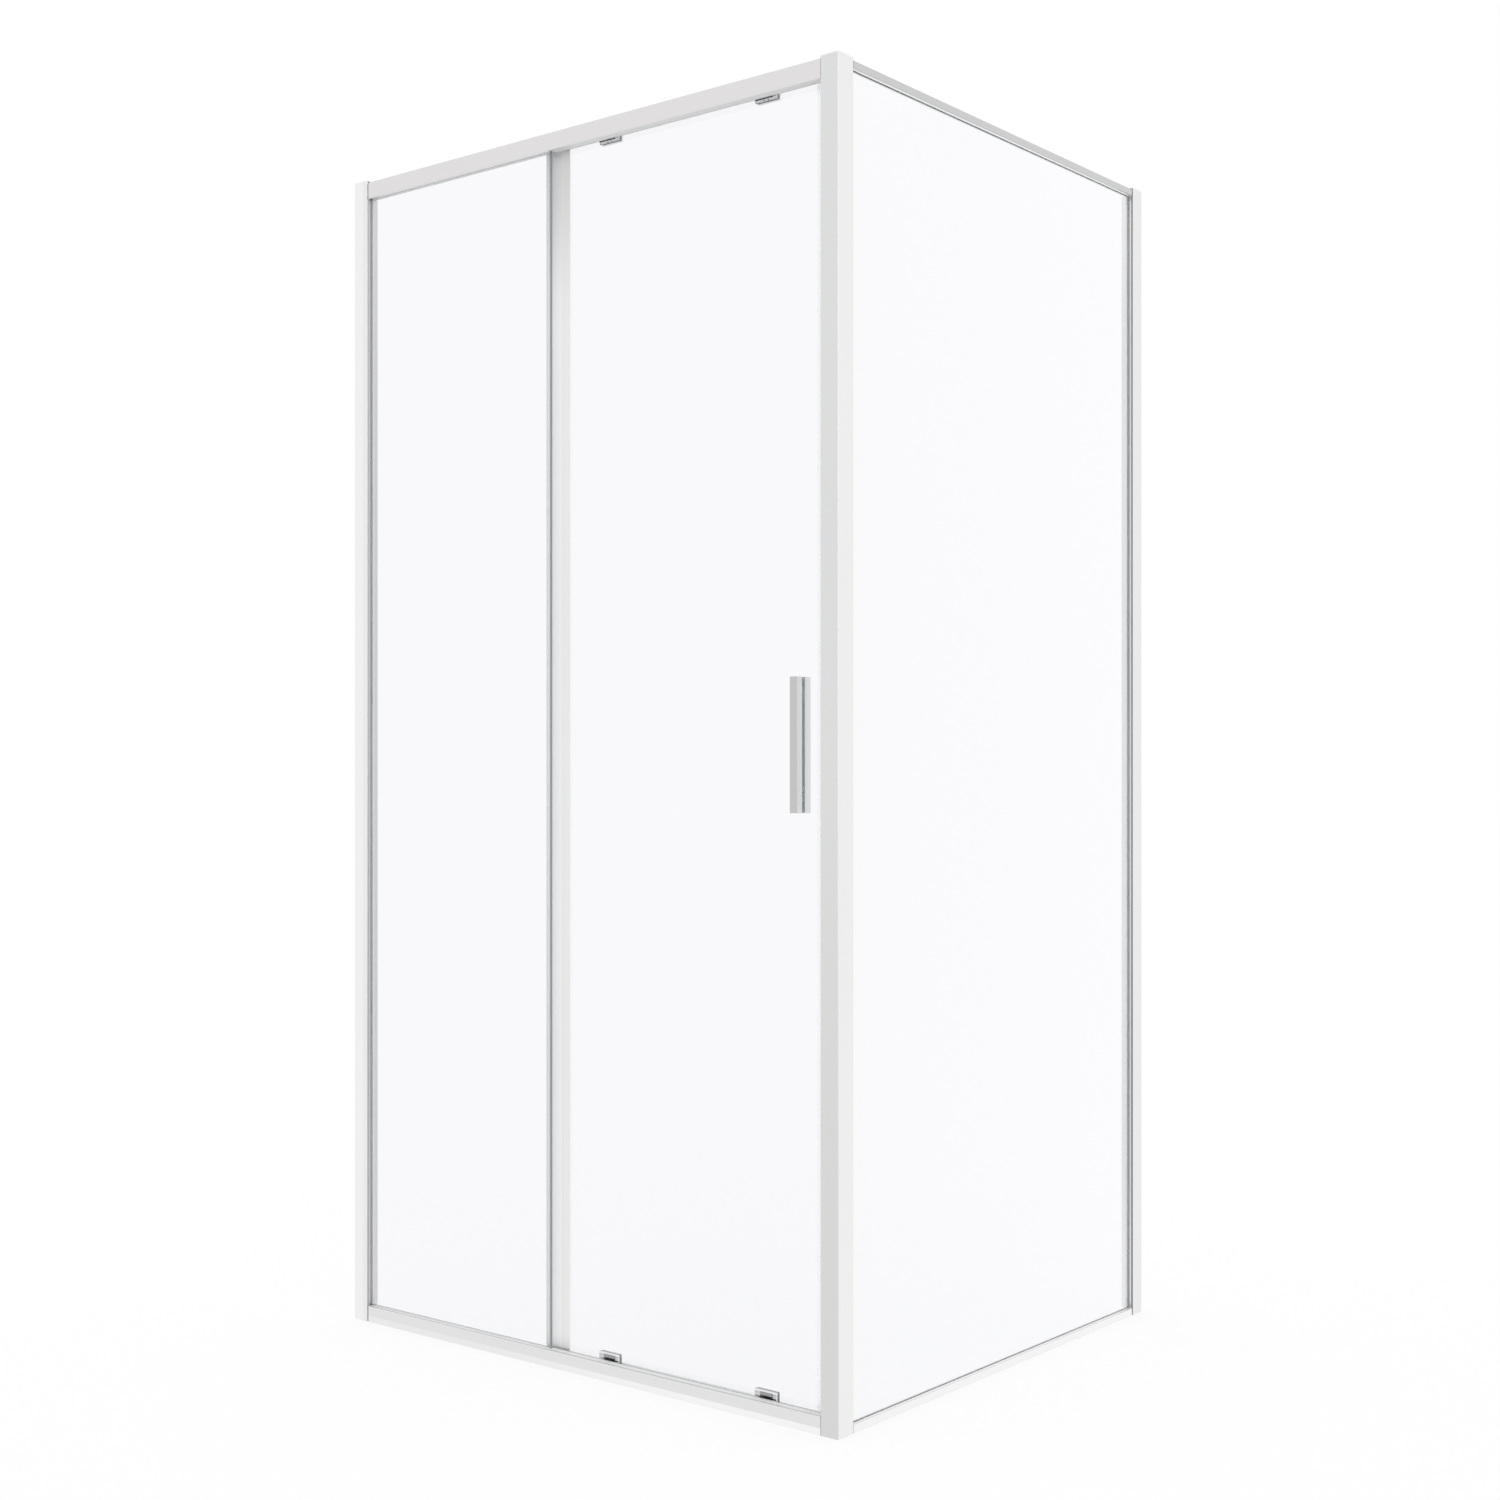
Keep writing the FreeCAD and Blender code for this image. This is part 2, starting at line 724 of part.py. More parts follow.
def side_rails():
    deep = dim.side_rail_depth
    outer = deep - dim.rail_rear_skin
    inner = dim.side_rail_rear_skin
    length = SIDE_RAIL_BACK - SIDE_RAIL_FRONT
    tall = dim.side_top_height
    roof = tall - dim.rail_rear_skin
    section = [(0, 0), (inner, 0), (inner, roof), (outer, roof), (outer, 0), (deep, 0),
               (deep, tall), (0, tall)]
    at = (RIGHT - deep, SIDE_RAIL_FRONT, RAIL_TOP - tall)
    body = extrude("side_top_rail", "XZ_Plane", [section], length, at)
    round_edges(body, dim.edge_radius, lambda middle, way: abs(way.y) > 0.9
                and near(middle.x, deep) and near(middle.z, dim.side_top_height))
    tall = dim.side_bottom_height
    floor = dim.side_slot_floor
    section = [(0, 0), (deep, 0), (deep, tall), (outer, tall), (outer, floor), (inner, floor),
               (inner, tall), (0, tall)]
    body = extrude("side_bottom_rail", "XZ_Plane", [section], length,
                   (RIGHT - deep, SIDE_RAIL_FRONT, 0))
    round_edges(body, dim.edge_radius, lambda middle, way: abs(way.y) > 0.9
                and near(middle.x, deep) and near(middle.z, dim.side_bottom_height))
    thick = dim.pane_set_back - dim.rail_rear_skin - dim.fit_gap
    strips = []
    tall = dim.side_strip_tall
    high_strip = RAIL_TOP - dim.side_top_height + dim.strip_recess
    low_strip = dim.side_bottom_height - dim.strip_recess - tall
    for name, low in (("top", high_strip), ("bottom", low_strip)):
        strips.append(box("side_strip_" + name, (RIGHT - dim.pane_set_back, SIDE_RAIL_FRONT, low),
                          (thick, length, tall)))
    group("side_pane_gasket_rails", strips)


def panes():
    edge_in_slot = dim.slot_bottom + dim.pane_from_slot
    pane_left = LEFT + edge_in_slot
    floor = dim.bottom_slot_floor
    low = floor + dim.block_tall
    high = RAIL_TOP - dim.top_rail_height + dim.pane_bite
    pane = rectangle(0, 0, LEFT + dim.fixed_pane_right - pane_left, high - low)
    extrude("fixed_pane", "XZ_Plane", [pane], dim.glass,
            (pane_left, FRONT + dim.pane_set_back, low))
    side_low = dim.side_slot_floor + dim.block_tall
    side_high = RAIL_TOP - dim.rail_rear_skin - dim.block_tall
    side_front = SIDE_RAIL_FRONT - dim.post_slot_depth + dim.block_tall
    side_back = BACK - edge_in_slot
    side = rectangle(0, 0, side_back - side_front, side_high - side_low)
    extrude("side_pane", "YZ_Plane", [side], dim.glass,
            (RIGHT - dim.pane_set_back - dim.glass, side_front, side_low))
    # Setting blocks carry each pane near both ends of its lower edge.
    long = dim.block_long
    tall = dim.block_tall
    blocks = []
    for end, along in (("left", pane_left + long * 2),
                       ("right", LEFT + dim.fixed_pane_right - long * 3)):
        blocks.append(box("front_setting_block_" + end, (along, FRONT + dim.pane_set_back, floor),
                          (long, dim.glass, tall)))
    side_face = RIGHT - dim.pane_set_back - dim.glass
    for end, along in (("front", side_front + long * 4), ("back", side_back - long * 5)):
        blocks.append(box("side_setting_block_" + end, (side_face, along, dim.side_slot_floor),
                          (dim.glass, long, tall)))
    group("setting_blocks", blocks)


def upright_gaskets():
    """Rubber on both faces of each pane in its stile, and beside the side pane in the post."""
    gap = dim.gasket_gap
    along = dim.slot_bottom + dim.gasket_from_slot
    outer_reach = dim.wall_face + dim.stile_outer_lip - along - gap
    inner_reach = dim.wall_face + dim.stile_gap + dim.stile_lip - along - gap
    outer = dim.pane_set_back - dim.slot_front
    pane_rear = dim.pane_set_back + dim.glass
    inner = dim.slot_rear - pane_rear
    low = dim.bottom_rail_height + gap
    tall = RAIL_TOP - dim.top_rail_height - low - gap
    front = box("stile_gasket_outer", (LEFT + along, FRONT + dim.slot_front, low),
                (outer_reach, outer, tall))
    rear = box("stile_gasket_inner", (LEFT + along, FRONT + pane_rear, low),
               (inner_reach, inner, tall))
    group("fixed_pane_gasket_stile", [front, rear])
    low = dim.side_bottom_height + gap
    tall = RAIL_TOP - dim.side_top_height - low - gap
    start = BACK - along - outer_reach
    front = box("side_gasket_outer", (RIGHT - dim.pane_set_back, start, low),
                (outer, outer_reach, tall))
    start = BACK - along - inner_reach
    rear = box("side_gasket_inner", (RIGHT - dim.slot_rear, start, low),
               (inner, inner_reach, tall))
    group("side_pane_gasket_stile", [front, rear])
    reach = dim.post_gasket_deep
    start = SIDE_RAIL_FRONT - reach - gap
    front = box("post_gasket_outer", (RIGHT - dim.pane_set_back, start, low),
                (outer, reach, tall))
    rear = box("post_gasket_inner", (RIGHT - dim.slot_rear, start, low), (inner, reach, tall))
    group("side_pane_gasket_post", [front, rear])


# The door: glass with a stile on its left edge, and seals.

DOOR_LEFT = LEFT + dim.door_glass_left
DOOR_RIGHT = RIGHT - dim.door_glass_right
DOOR_LOW = dim.door_glass_low
DOOR_HIGH = dim.height - dim.door_glass_high
DOOR_TALL = DOOR_HIGH - DOOR_LOW
CARRIAGE_LOW = dim.height - dim.carriage_low
FITTING_DEPTH = dim.fitting_body + dim.carriage_body_depth - dim.fitting_front
LEFT_FITTING = LEFT + dim.fitting_left
RIGHT_FITTING = LEFT + dim.fitting_right
HANDLE_LEFT = LEFT + dim.handle_from_left
HANDLE_MIDDLE = HANDLE_LEFT + dim.handle_wide / 2


def handle_screw_heights():
    centre = dim.handle_low + dim.handle_tall / 2
    return [centre - dim.handle_screw_pitch / 2, centre + dim.handle_screw_pitch / 2]


def door_glass():
    wide = DOOR_RIGHT - DOOR_LEFT
    notch_half = dim.fitting_wide / 2 + dim.liner_recess
    left = LEFT_FITTING - DOOR_LEFT
    right = RIGHT_FITTING - DOOR_LEFT
    low_notch = dim.guide_top + dim.liner_recess - DOOR_LOW
    high_notch = CARRIAGE_LOW + dim.carriage_slope / 3 - DOOR_LOW
    outline = [(0, 0)]
    for centre in (left, right):
        outline += [(centre - notch_half, 0), (centre - notch_half, low_notch),
                    (centre + notch_half, low_notch), (centre + notch_half, 0)]
    outline += [(wide, 0), (wide, DOOR_TALL)]
    for centre in (right, left):
        outline += [(centre + notch_half, DOOR_TALL), (centre + notch_half, high_notch),
                    (centre - notch_half, high_notch), (centre - notch_half, DOOR_TALL)]
    outline += [(0, DOOR_TALL)]
    holes = [(HANDLE_MIDDLE - DOOR_LEFT, height - DOOR_LOW, dim.handle_hole_radius)
             for height in handle_screw_heights()]
    extrude("door_glass", "XZ_Plane", [outline], dim.glass,
            (DOOR_LEFT, FRONT + dim.door_set_back, DOOR_LOW), circles=holes)


def door_stile():
    """Hollow grip profile on the door's left edge; a groove parts its flat and its slope."""
    wide = dim.door_stile_face
    deep = dim.door_stile_depth
    skin = dim.door_stile_skin
    flat = dim.door_stile_flat
    groove = dim.door_stile_groove_wide
    seat = dim.door_glass_left - dim.door_stile_left - dim.edge_radius
    rear_end = wide - dim.door_stile_rear_short
    glass_front = dim.door_set_back - dim.door_stile_front - dim.glass_slot_gap
    glass_rear = glass_front + dim.glass + dim.glass_slot_gap * 2
    section = [
        (0, 0),
        (flat - groove, 0),
        (flat - groove / 2, dim.door_stile_groove),
        (flat, 0),
        (wide, glass_front / 2),
        (wide, glass_front),
        (seat, glass_front),
        (seat, glass_rear),
        (rear_end, glass_rear),
        (rear_end, glass_rear + skin),
        (seat, deep),
        (0, deep),
    ]
    hollow = rectangle(skin, skin, seat - skin, deep - skin)
    body = extrude("door_stile", "XY_Plane", [section, hollow], DOOR_TALL,
                   (LEFT + dim.door_stile_left, FRONT + dim.door_stile_front, DOOR_LOW))
    round_edges(body, dim.edge_radius, lambda middle, way: abs(way.z) > 0.9
                and near(middle.x, 0) and (near(middle.y, 0) or near(middle.y, deep)))
    # The fin closes the gap to the fixed pane and stops short of the rails.
    reach = dim.door_stile_front - dim.pane_set_back - dim.glass - dim.small_radius
    start = LEFT + dim.door_stile_left + dim.edge_radius
    blade = start + dim.fin_foot - dim.fin_thick
    face = FRONT + dim.door_stile_front
    low = dim.bottom_rail_height + dim.block_tall
    tall = RAIL_TOP - dim.top_rail_height - low - dim.block_tall
    foot = box("fin_foot", (start, face - dim.fin_thick, low), (dim.fin_foot, dim.fin_thick, tall))
    fin = box("fin_blade", (blade, face - reach, low), (dim.fin_thick, reach, tall))
    keep(join("door_fin_seal", [foot, fin]), "door_fin_seal")


def door_seals():
    """Magnet strips where the door meets the post, and the wiping seal under the glass."""
    skin = dim.magnet_skin
    gap = dim.glass_slot_gap
    front = dim.door_set_back - skin - gap
    deep = dim.glass + (skin + gap) * 2
    grip = dim.magnet_grip
    root = grip + gap
    wide = root + dim.magnet_wide
    section = [
        (0, 0),
        (wide, 0),
        (wide, deep),
        (0, deep),
        (0, deep - skin),
        (root, deep - skin),
        (root, skin),
        (0, skin),
    ]
    extrude("door_magnet_seal", "XY_Plane", [section], DOOR_TALL,
            (DOOR_RIGHT - grip, FRONT + front, DOOR_LOW))
    low = dim.track_fin_height + dim.liner_recess
    magnet = box("post_magnet_seal", (POST_LEFT - dim.magnet_wide, FRONT + front, low),
                 (dim.magnet_wide, deep, DOOR_HIGH - low))
    keep(magnet, "post_magnet_seal")
    skin = dim.sweep_skin
    gap = dim.fit_gap
    start = LEFT_FITTING + dim.fitting_wide / 2 + dim.block_tall
    end = RIGHT_FITTING - dim.fitting_wide / 2 - dim.block_tall
    inner = dim.glass + skin + gap * 2
    wide = inner + skin
    tall = dim.sweep_tall
    sole = dim.sweep_sole
    section = [
        (0, 0),
        (wide, 0),
        (wide, tall),
        (inner, tall),
        (inner, sole),
        (skin, sole),
        (skin, tall),
        (0, tall),
    ]
    extrude("door_bottom_seal", "YZ_Plane", [section], end - start,
            (start, FRONT + dim.door_set_back - skin - gap, DOOR_LOW - sole - gap))


# Carriages that hang the door on the top rail's ledge.


def fitting_left_end(centre):
    return centre - dim.fitting_wide / 2


def slope_at(across):
    """Height of a carriage's sloping underside, this far behind its front."""
    return dim.carriage_slope * (FITTING_DEPTH - across) / FITTING_DEPTH


def carriage_plate(side, start, tall, screw_holes):
    """Front half of the clamp: an upright leg with a window, and a sloping foot."""
    skin = dim.fitting_skin
    lip = dim.fitting_lip
    flange = dim.carriage_flange
    section = [
        (0, slope_at(size(0))),
        (lip, slope_at(lip)),
        (lip, slope_at(lip) + flange),
        (skin, slope_at(skin) + flange),
        (skin, tall),
        (0, tall),
    ]
    plate = extrude("carriage_plate_" + side, "YZ_Plane", [section], dim.fitting_wide,
                    (start, FRONT + dim.fitting_front, CARRIAGE_LOW))
    round_edges(plate, dim.small_radius, lambda middle, way: abs(way.x) > 0.9
                and near(middle.y, 0) and near(middle.z, dim.carriage_slope))
    window_end = dim.window_start + dim.window_wide
    low = dim.carriage_window_low
    window = rectangle(dim.carriage_window_start, low, window_end, low + dim.carriage_window_tall)
    pocket(plate, "XZ_Plane", skin + dim.hole_overcut, loops=[window])
    pocket(plate, "XY_Plane", tall, circles=screw_holes)


def carriage_liner(side, start, tall, screw_holes):
    """Rubber between the clamp's halves, set back a little from the sloping underside."""
    behind_plate = dim.fitting_lip - dim.fitting_skin
    before_body = dim.fitting_body - dim.door_set_back
    body_across = dim.fitting_body - dim.fitting_front
    section = [
        (0, slope_at(dim.fitting_skin) + dim.carriage_flange),
        (behind_plate, slope_at(dim.fitting_lip) + dim.carriage_flange),
        (behind_plate, slope_at(dim.fitting_lip) + dim.liner_recess),
        (before_body, slope_at(body_across) + dim.liner_recess),
        (before_body, tall),
        (0, tall),
    ]
    liner = extrude("carriage_liner_" + side, "YZ_Plane", [section], dim.fitting_wide,
                    (start, FRONT + dim.door_set_back, CARRIAGE_LOW))
    shift = dim.door_set_back - dim.fitting_front
    holes = [(x, y - shift, radius) for x, y, radius in screw_holes]
    pocket(liner, "XY_Plane", tall, circles=holes)


def carriage(side, centre):
    wide = dim.fitting_wide
    start = fitting_left_end(centre)
    tall = DOOR_HIGH - CARRIAGE_LOW - dim.small_radius
    screw_holes = [(along, dim.clamp_screw_across, dim.clamp_screw_radius + dim.fit_gap)
                   for along in clamp_screw_places()]
    carriage_plate(side, start, tall, screw_holes)
    carriage_liner(side, start, tall, screw_holes)
    deep = dim.carriage_body_depth
    section = [
        (0, slope_at(FITTING_DEPTH - deep)),
        (deep, 0),
        (deep, dim.carriage_height),
        (0, dim.carriage_height),
    ]
    body = extrude("carriage_body_" + side, "YZ_Plane", [section], wide,
                   (start, FRONT + dim.fitting_body, CARRIAGE_LOW))
    axle_height = wheel_height() - CARRIAGE_LOW
    holes = [(wide / 2 - dim.wheel_spread, axle_height, dim.axle_radius),
             (wide / 2 + dim.wheel_spread, axle_height, dim.axle_radius)]
    pocket(body, "XZ_Plane", deep + dim.hole_overcut, circles=holes)
    round_edges(body, dim.edge_radius, lambda middle, way: abs(way.y) > 0.9
                and near(middle.z, dim.carriage_height))
    round_edges(body, dim.small_radius, lambda middle, way: abs(way.x) > 0.9
                and near(middle.y, deep))


def clamp_screw_places():
    return [dim.clamp_screw_first, dim.clamp_screw_first + dim.clamp_screw_pitch]


def clamp_screw(name, along):
    """A grub screw in the carriage's foot; its end stands a little below the slope."""
    low = CARRIAGE_LOW + slope_at(dim.clamp_screw_across) - dim.liner_recess
    at = (along, FRONT + dim.fitting_front + dim.clamp_screw_across, low)
    return rod(name, at, dim.clamp_screw_radius, CARRIAGE_LOW + dim.clamp_screw_top - low)


def wheel_height():
    return (RAIL_TOP - dim.top_rail_height + dim.ledge_low + dim.ledge_thick
            + dim.wheel_radius + dim.fit_gap)


def wheel_front():
    return dim.fitting_front + dim.wheel_from_front


def wheel(name, centre):
    body = doc.addObject("PartDesign::Body", name)
    bevel = dim.wheel_bevel
    profile = [
        (dim.wheel_bore, 0),
        (dim.wheel_radius - bevel, 0),
        (dim.wheel_radius, bevel),
        (dim.wheel_radius, dim.wheel_wide - bevel),
        (dim.wheel_radius - bevel, dim.wheel_wide),
        (dim.wheel_bore, dim.wheel_wide),
    ]
    sketch = draw(body, "XY_Plane", [profile])
    turned = body.newObject("PartDesign::Revolution", name + "_turned")
    turned.Profile = sketch
    turned.ReferenceAxis = (sketch, ["V_Axis"])
    turned.Angle = 360
    move(body, (centre, FRONT + wheel_front(), wheel_height()))
    keep(body, name)


def axle(name, centre):
    head_front = dim.fitting_front
    head_thick = dim.axle_head_thick
    head = rod(name + "_head", (centre, FRONT + head_front, wheel_height()),
               dim.axle_head, head_thick, ALONG_Y)
    shank = rod(name + "_shank", (centre, FRONT + head_front + head_thick, wheel_height()),
                dim.axle_radius,
                dim.fitting_body + dim.carriage_body_depth - head_front - head_thick, ALONG_Y)
    return join(name, [head, shank])


def carriages():
    axles = []
    screws = []
    for side, centre in (("left", LEFT_FITTING), ("right", RIGHT_FITTING)):
        carriage(side, centre)
        ends = (("left", centre - dim.wheel_spread), ("right", centre + dim.wheel_spread))
        for end, place in ends:
            wheel("wheel_%s_%s" % (side, end), place)
            axles.append(axle("axle_%s_%s" % (side, end), place))
        for number, along in enumerate(clamp_screw_places()):
            screws.append(clamp_screw("clamp_screw_%s_%d" % (side, number),
                                      fitting_left_end(centre) + along))
    group("wheel_axles", axles)
    group("clamp_screws", screws)


# Guides that keep the door's lower edge in the bottom rail's track.


def guide(side, centre):
    wide = dim.fitting_wide
    start = fitting_left_end(centre)
    skin = dim.fitting_skin
    flange_low = dim.guide_top - dim.guide_flange - DOOR_LOW
    tall = dim.guide_top - DOOR_LOW
    lip = dim.fitting_lip
    section = [(0, 0), (skin, 0), (skin, flange_low), (lip, flange_low), (lip, tall), (0, tall)]
    plate = extrude("guide_plate_" + side, "YZ_Plane", [section], wide,
                    (start, FRONT + dim.fitting_front, DOOR_LOW))
    window_low = dim.bottom_rail_height + dim.window_rim - DOOR_LOW
    window_high = flange_low - dim.window_rim
    window_end = dim.window_start + dim.window_wide
    window = rectangle(dim.window_start, window_low, window_end, window_high)
    pocket(plate, "XZ_Plane", skin + dim.hole_overcut, loops=[window])
    round_edges(plate, dim.small_radius, lambda middle, way: abs(way.x) > 0.9
                and near(middle.y, 0) and near(middle.z, tall))
    behind_plate = lip - skin
    before_body = dim.fitting_body - dim.door_set_back
    liner_top = tall - dim.liner_recess
    section = [(0, 0), (before_body, 0), (before_body, liner_top), (behind_plate, liner_top),
               (behind_plate, flange_low), (0, flange_low)]
    liner = extrude("guide_liner_" + side, "YZ_Plane", [section], wide,
                    (start, FRONT + dim.door_set_back, DOOR_LOW))
    room = rectangle(dim.window_start + dim.liner_room, window_low,
                     window_end - dim.liner_room, window_high)
    pocket(liner, "XZ_Plane", dim.liner_room_deep, loops=[room])
    foot_front = dim.guide_foot_front
    foot = dim.guide_foot_thick
    up = dim.guide_top - dim.guide_foot
    rear = dim.fitting_body + dim.guide_body_depth - foot_front
    section = [(0, 0), (rear, 0), (rear, up), (dim.fitting_body - foot_front, up),
               (dim.fitting_body - foot_front, foot), (0, foot)]
    body = extrude("guide_body_" + side, "YZ_Plane", [section], wide,
                   (start, FRONT + foot_front, dim.guide_foot))
    pocket(body, "XY_Plane", foot + dim.hole_overcut,
           circles=[(wide / 2, roller_across() - foot_front, dim.pin_radius)])
    round_edges(body, dim.small_radius, lambda middle, way: abs(way.x) > 0.9
                and near(middle.y, rear) and near(middle.z, up))
    release_tab(side, start + dim.window_start, window_low, window_high)


def release_tab(side, start, window_low, window_high):
    """Spring tab in the guide's window: pressed down, it frees the door's lower edge."""
    clear = dim.tab_clear
    inset = clear + dim.tab_stem_inset
    low = DOOR_LOW + window_low + dim.tab_travel + clear
    tall = window_high - window_low - dim.tab_travel - clear * 2
    front = FRONT + dim.fitting_front - dim.tab_proud
    face = box("tab_face_" + side, (start + clear, front, low),
               (dim.window_wide - clear * 2, dim.tab_thick, tall))
    stem = box("tab_stem_" + side,
               (start + inset, front + dim.tab_thick, low + dim.liner_recess),
               (dim.window_wide - inset * 2, dim.tab_stem, tall - dim.liner_recess * 2))
    keep(join("release_tab_" + side, [face, stem]), "release_tab_" + side)


def roller_across():
    return dim.bottom_rail_depth + dim.track_wide / 2


def roller(name, centre):
    body = doc.addObject("PartDesign::Body", name)
    bevel = dim.wheel_bevel
    profile = [
        (dim.roller_bore, 0),
        (dim.roller_radius - bevel, 0),
        (dim.roller_radius, bevel),
        (dim.roller_radius, dim.roller_tall - bevel),
        (dim.roller_radius - bevel, dim.roller_tall),
        (dim.roller_bore, dim.roller_tall),
    ]
    sketch = draw(body, "XZ_Plane", [profile])
    turned = body.newObject("PartDesign::Revolution", name + "_turned")
    turned.Profile = sketch
    turned.ReferenceAxis = (sketch, ["V_Axis"])
    turned.Angle = 360
    move(body, (centre, FRONT + roller_across(), dim.roller_low))
    keep(body, name)


def roller_pin(side, centre):
    """Headed pin that a guide's roller turns on, hung from the guide's foot."""
    across = FRONT + roller_across()
    neck = dim.roller_low - dim.pin_below_roller
    head = rod("pin_head_" + side, (centre, across, neck - dim.pin_head_thick), dim.pin_head,
               dim.pin_head_thick)
    shank = rod("pin_shank_" + side, (centre, across, neck), dim.pin_radius,
                dim.guide_foot + dim.guide_foot_thick - neck)
    return join("pin_" + side, [head, shank])


def guides():
    pins = []
    for side, centre in (("left", LEFT_FITTING), ("right", RIGHT_FITTING)):
        guide(side, centre)
        roller("guide_roller_" + side, centre)
        pins.append(roller_pin(side, centre))
    group("roller_pins", pins)


# End stops on the ledge of the top rail.


def door_stops():
    rest = dim.wheel_spread + dim.wheel_radius + dim.edge_radius
    low = RAIL_TOP - dim.top_rail_height + dim.ledge_low + dim.ledge_thick
    wide = dim.stop_wide
    extent = (wide, dim.ledge_depth - dim.stop_gap * 2, dim.stop_tall)
    across = FRONT + dim.top_rail_depth + dim.stop_gap
    closed = box("door_stop_closed", (RIGHT_FITTING + rest, across, low), extent)
    opened = box("door_stop_open", (LEFT_FITTING - rest - dim.door_travel - wide, across, low),
                 extent)
    group("door_stops", [closed, opened])


# The handle: a bar on each face of the glass, screwed together through it.


def handle_bar(label, front, deep, screw_from, screw_length):
    section = rectangle(0, 0, dim.handle_wide, deep)
    body = extrude(label, "XY_Plane", [section], dim.handle_tall,
                   (HANDLE_LEFT, FRONT + front, dim.handle_low))
    radius = dim.handle_screw_radius + dim.fit_gap
    holes = [(dim.handle_wide / 2, height - dim.handle_low, radius)
             for height in handle_screw_heights()]
    pocket(body, "XZ_Plane", screw_length, circles=holes, offset=-size(screw_from))
    round_edges(body, dim.edge_radius, lambda middle, way: abs(way.z) > 0.9)
    round_edges(body, dim.small_radius, lambda middle, way: near(middle.z, 0)
                or near(middle.z, dim.handle_tall))


def pad_block(name, front, thick, height):
    """Rubber block of a handle pad, centred on a screw's height."""
    wide = dim.handle_pad_wide
    tall = dim.handle_pad_tall
    at = (HANDLE_MIDDLE - wide / 2, FRONT + front, height - tall / 2)
    return box(name, at, (wide, thick, tall))


def handle():
    outer_rear = dim.handle_front + dim.handle_outer_depth
    glass_rear = dim.door_set_back + dim.glass
    inner_front = glass_rear + dim.handle_inner_gap
    blind = dim.handle_blind
    handle_bar("handle_outer", dim.handle_front, dim.handle_outer_depth,
               dim.handle_outer_depth - blind, blind + dim.hole_overcut)
    handle_bar("handle_inner", inner_front, dim.handle_inner_depth, 0,
               dim.handle_inner_depth + dim.hole_overcut)
    screw_start = outer_rear - blind + dim.small_radius
    screw_end = inner_front + dim.handle_inner_depth - dim.handle_recess
    pads = []
    screws = []
    for end, height in zip(("low", "high"), handle_screw_heights()):
        outer = pad_block("pad_outer_block_" + end, outer_rear, dim.handle_pad_thick, height)
        boss = rod("pad_boss_" + end, (HANDLE_MIDDLE, FRONT + dim.door_set_back, height),
                   dim.handle_hole_radius - dim.glass_slot_gap, dim.glass / 2, ALONG_Y)
        inner = pad_block("pad_inner_block_" + end, glass_rear, dim.handle_inner_gap, height)
        for name, solid in (("outer", join("pad_outer_solid_" + end, [outer, boss])),
                            ("inner", inner)):
            bore = rod("pad_bore_%s_%s" % (name, end), (HANDLE_MIDDLE, FRONT + outer_rear, height),
                       dim.handle_screw_radius + dim.fit_gap, inner_front - outer_rear, ALONG_Y)
            pads.append(cut_out("pad_%s_%s" % (name, end), solid, bore))
        screws.append(rod("handle_screw_" + end, (HANDLE_MIDDLE, FRONT + screw_start, height),
                          dim.handle_screw_radius, screw_end - screw_start, ALONG_Y))
    group("handle_pads", pads)
    group("handle_screws", screws)


def build():
    wall_frames()
    post()
    top_rail()
    bottom_rail()
    strips_in_front_rails()
    rail_connectors()
    side_rails()
    panes()
    upright_gaskets()
    door_glass()
    door_stile()
    door_seals()
    carriages()
    guides()
    door_stops()
    handle()
    doc.recompute()


def check():
    """Stop before anything is written if an object failed or a shape is unsound."""
    for thing in doc.Objects:
        if "Invalid" in thing.State or "Error" in thing.State:
            raise ValueError("%s failed: %s" % (thing.Label, thing.State))
    labels = [part.Label for part in sub_parts]
    if len(set(labels)) != len(labels):
        raise ValueError("two sub-parts share a label")
    for part in sub_parts:
        if part.Shape.isNull() or not part.Shape.isValid():
            raise ValueError("%s has no sound shape" % part.Label)


def write():
    os.makedirs("parts", exist_ok=True)
    for part in sub_parts:
        part.Shape.exportStep(os.path.join("parts", part.Label + ".step"))
    print("%d sub-parts" % len(sub_parts))


build()
check()
write()
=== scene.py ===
import math

import bpy
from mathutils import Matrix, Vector


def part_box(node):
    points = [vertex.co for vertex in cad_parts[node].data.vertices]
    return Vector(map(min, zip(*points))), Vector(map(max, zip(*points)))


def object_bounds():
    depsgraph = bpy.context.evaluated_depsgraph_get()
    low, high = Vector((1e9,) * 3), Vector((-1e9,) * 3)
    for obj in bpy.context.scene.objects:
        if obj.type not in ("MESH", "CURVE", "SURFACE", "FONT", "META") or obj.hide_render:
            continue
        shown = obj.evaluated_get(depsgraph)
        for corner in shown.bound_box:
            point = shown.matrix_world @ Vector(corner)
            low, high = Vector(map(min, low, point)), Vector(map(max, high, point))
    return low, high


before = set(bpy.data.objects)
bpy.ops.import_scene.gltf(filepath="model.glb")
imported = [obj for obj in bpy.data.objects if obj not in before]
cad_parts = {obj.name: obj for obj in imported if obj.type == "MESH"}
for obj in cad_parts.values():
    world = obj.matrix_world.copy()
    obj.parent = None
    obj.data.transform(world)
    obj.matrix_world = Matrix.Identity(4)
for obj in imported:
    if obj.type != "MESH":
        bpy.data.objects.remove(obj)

# A corner shower enclosure in a white studio. All lengths are metres, in the enclosure's own
# frame: +X along the front, +Y towards the back wall, +Z up.

cad_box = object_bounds()

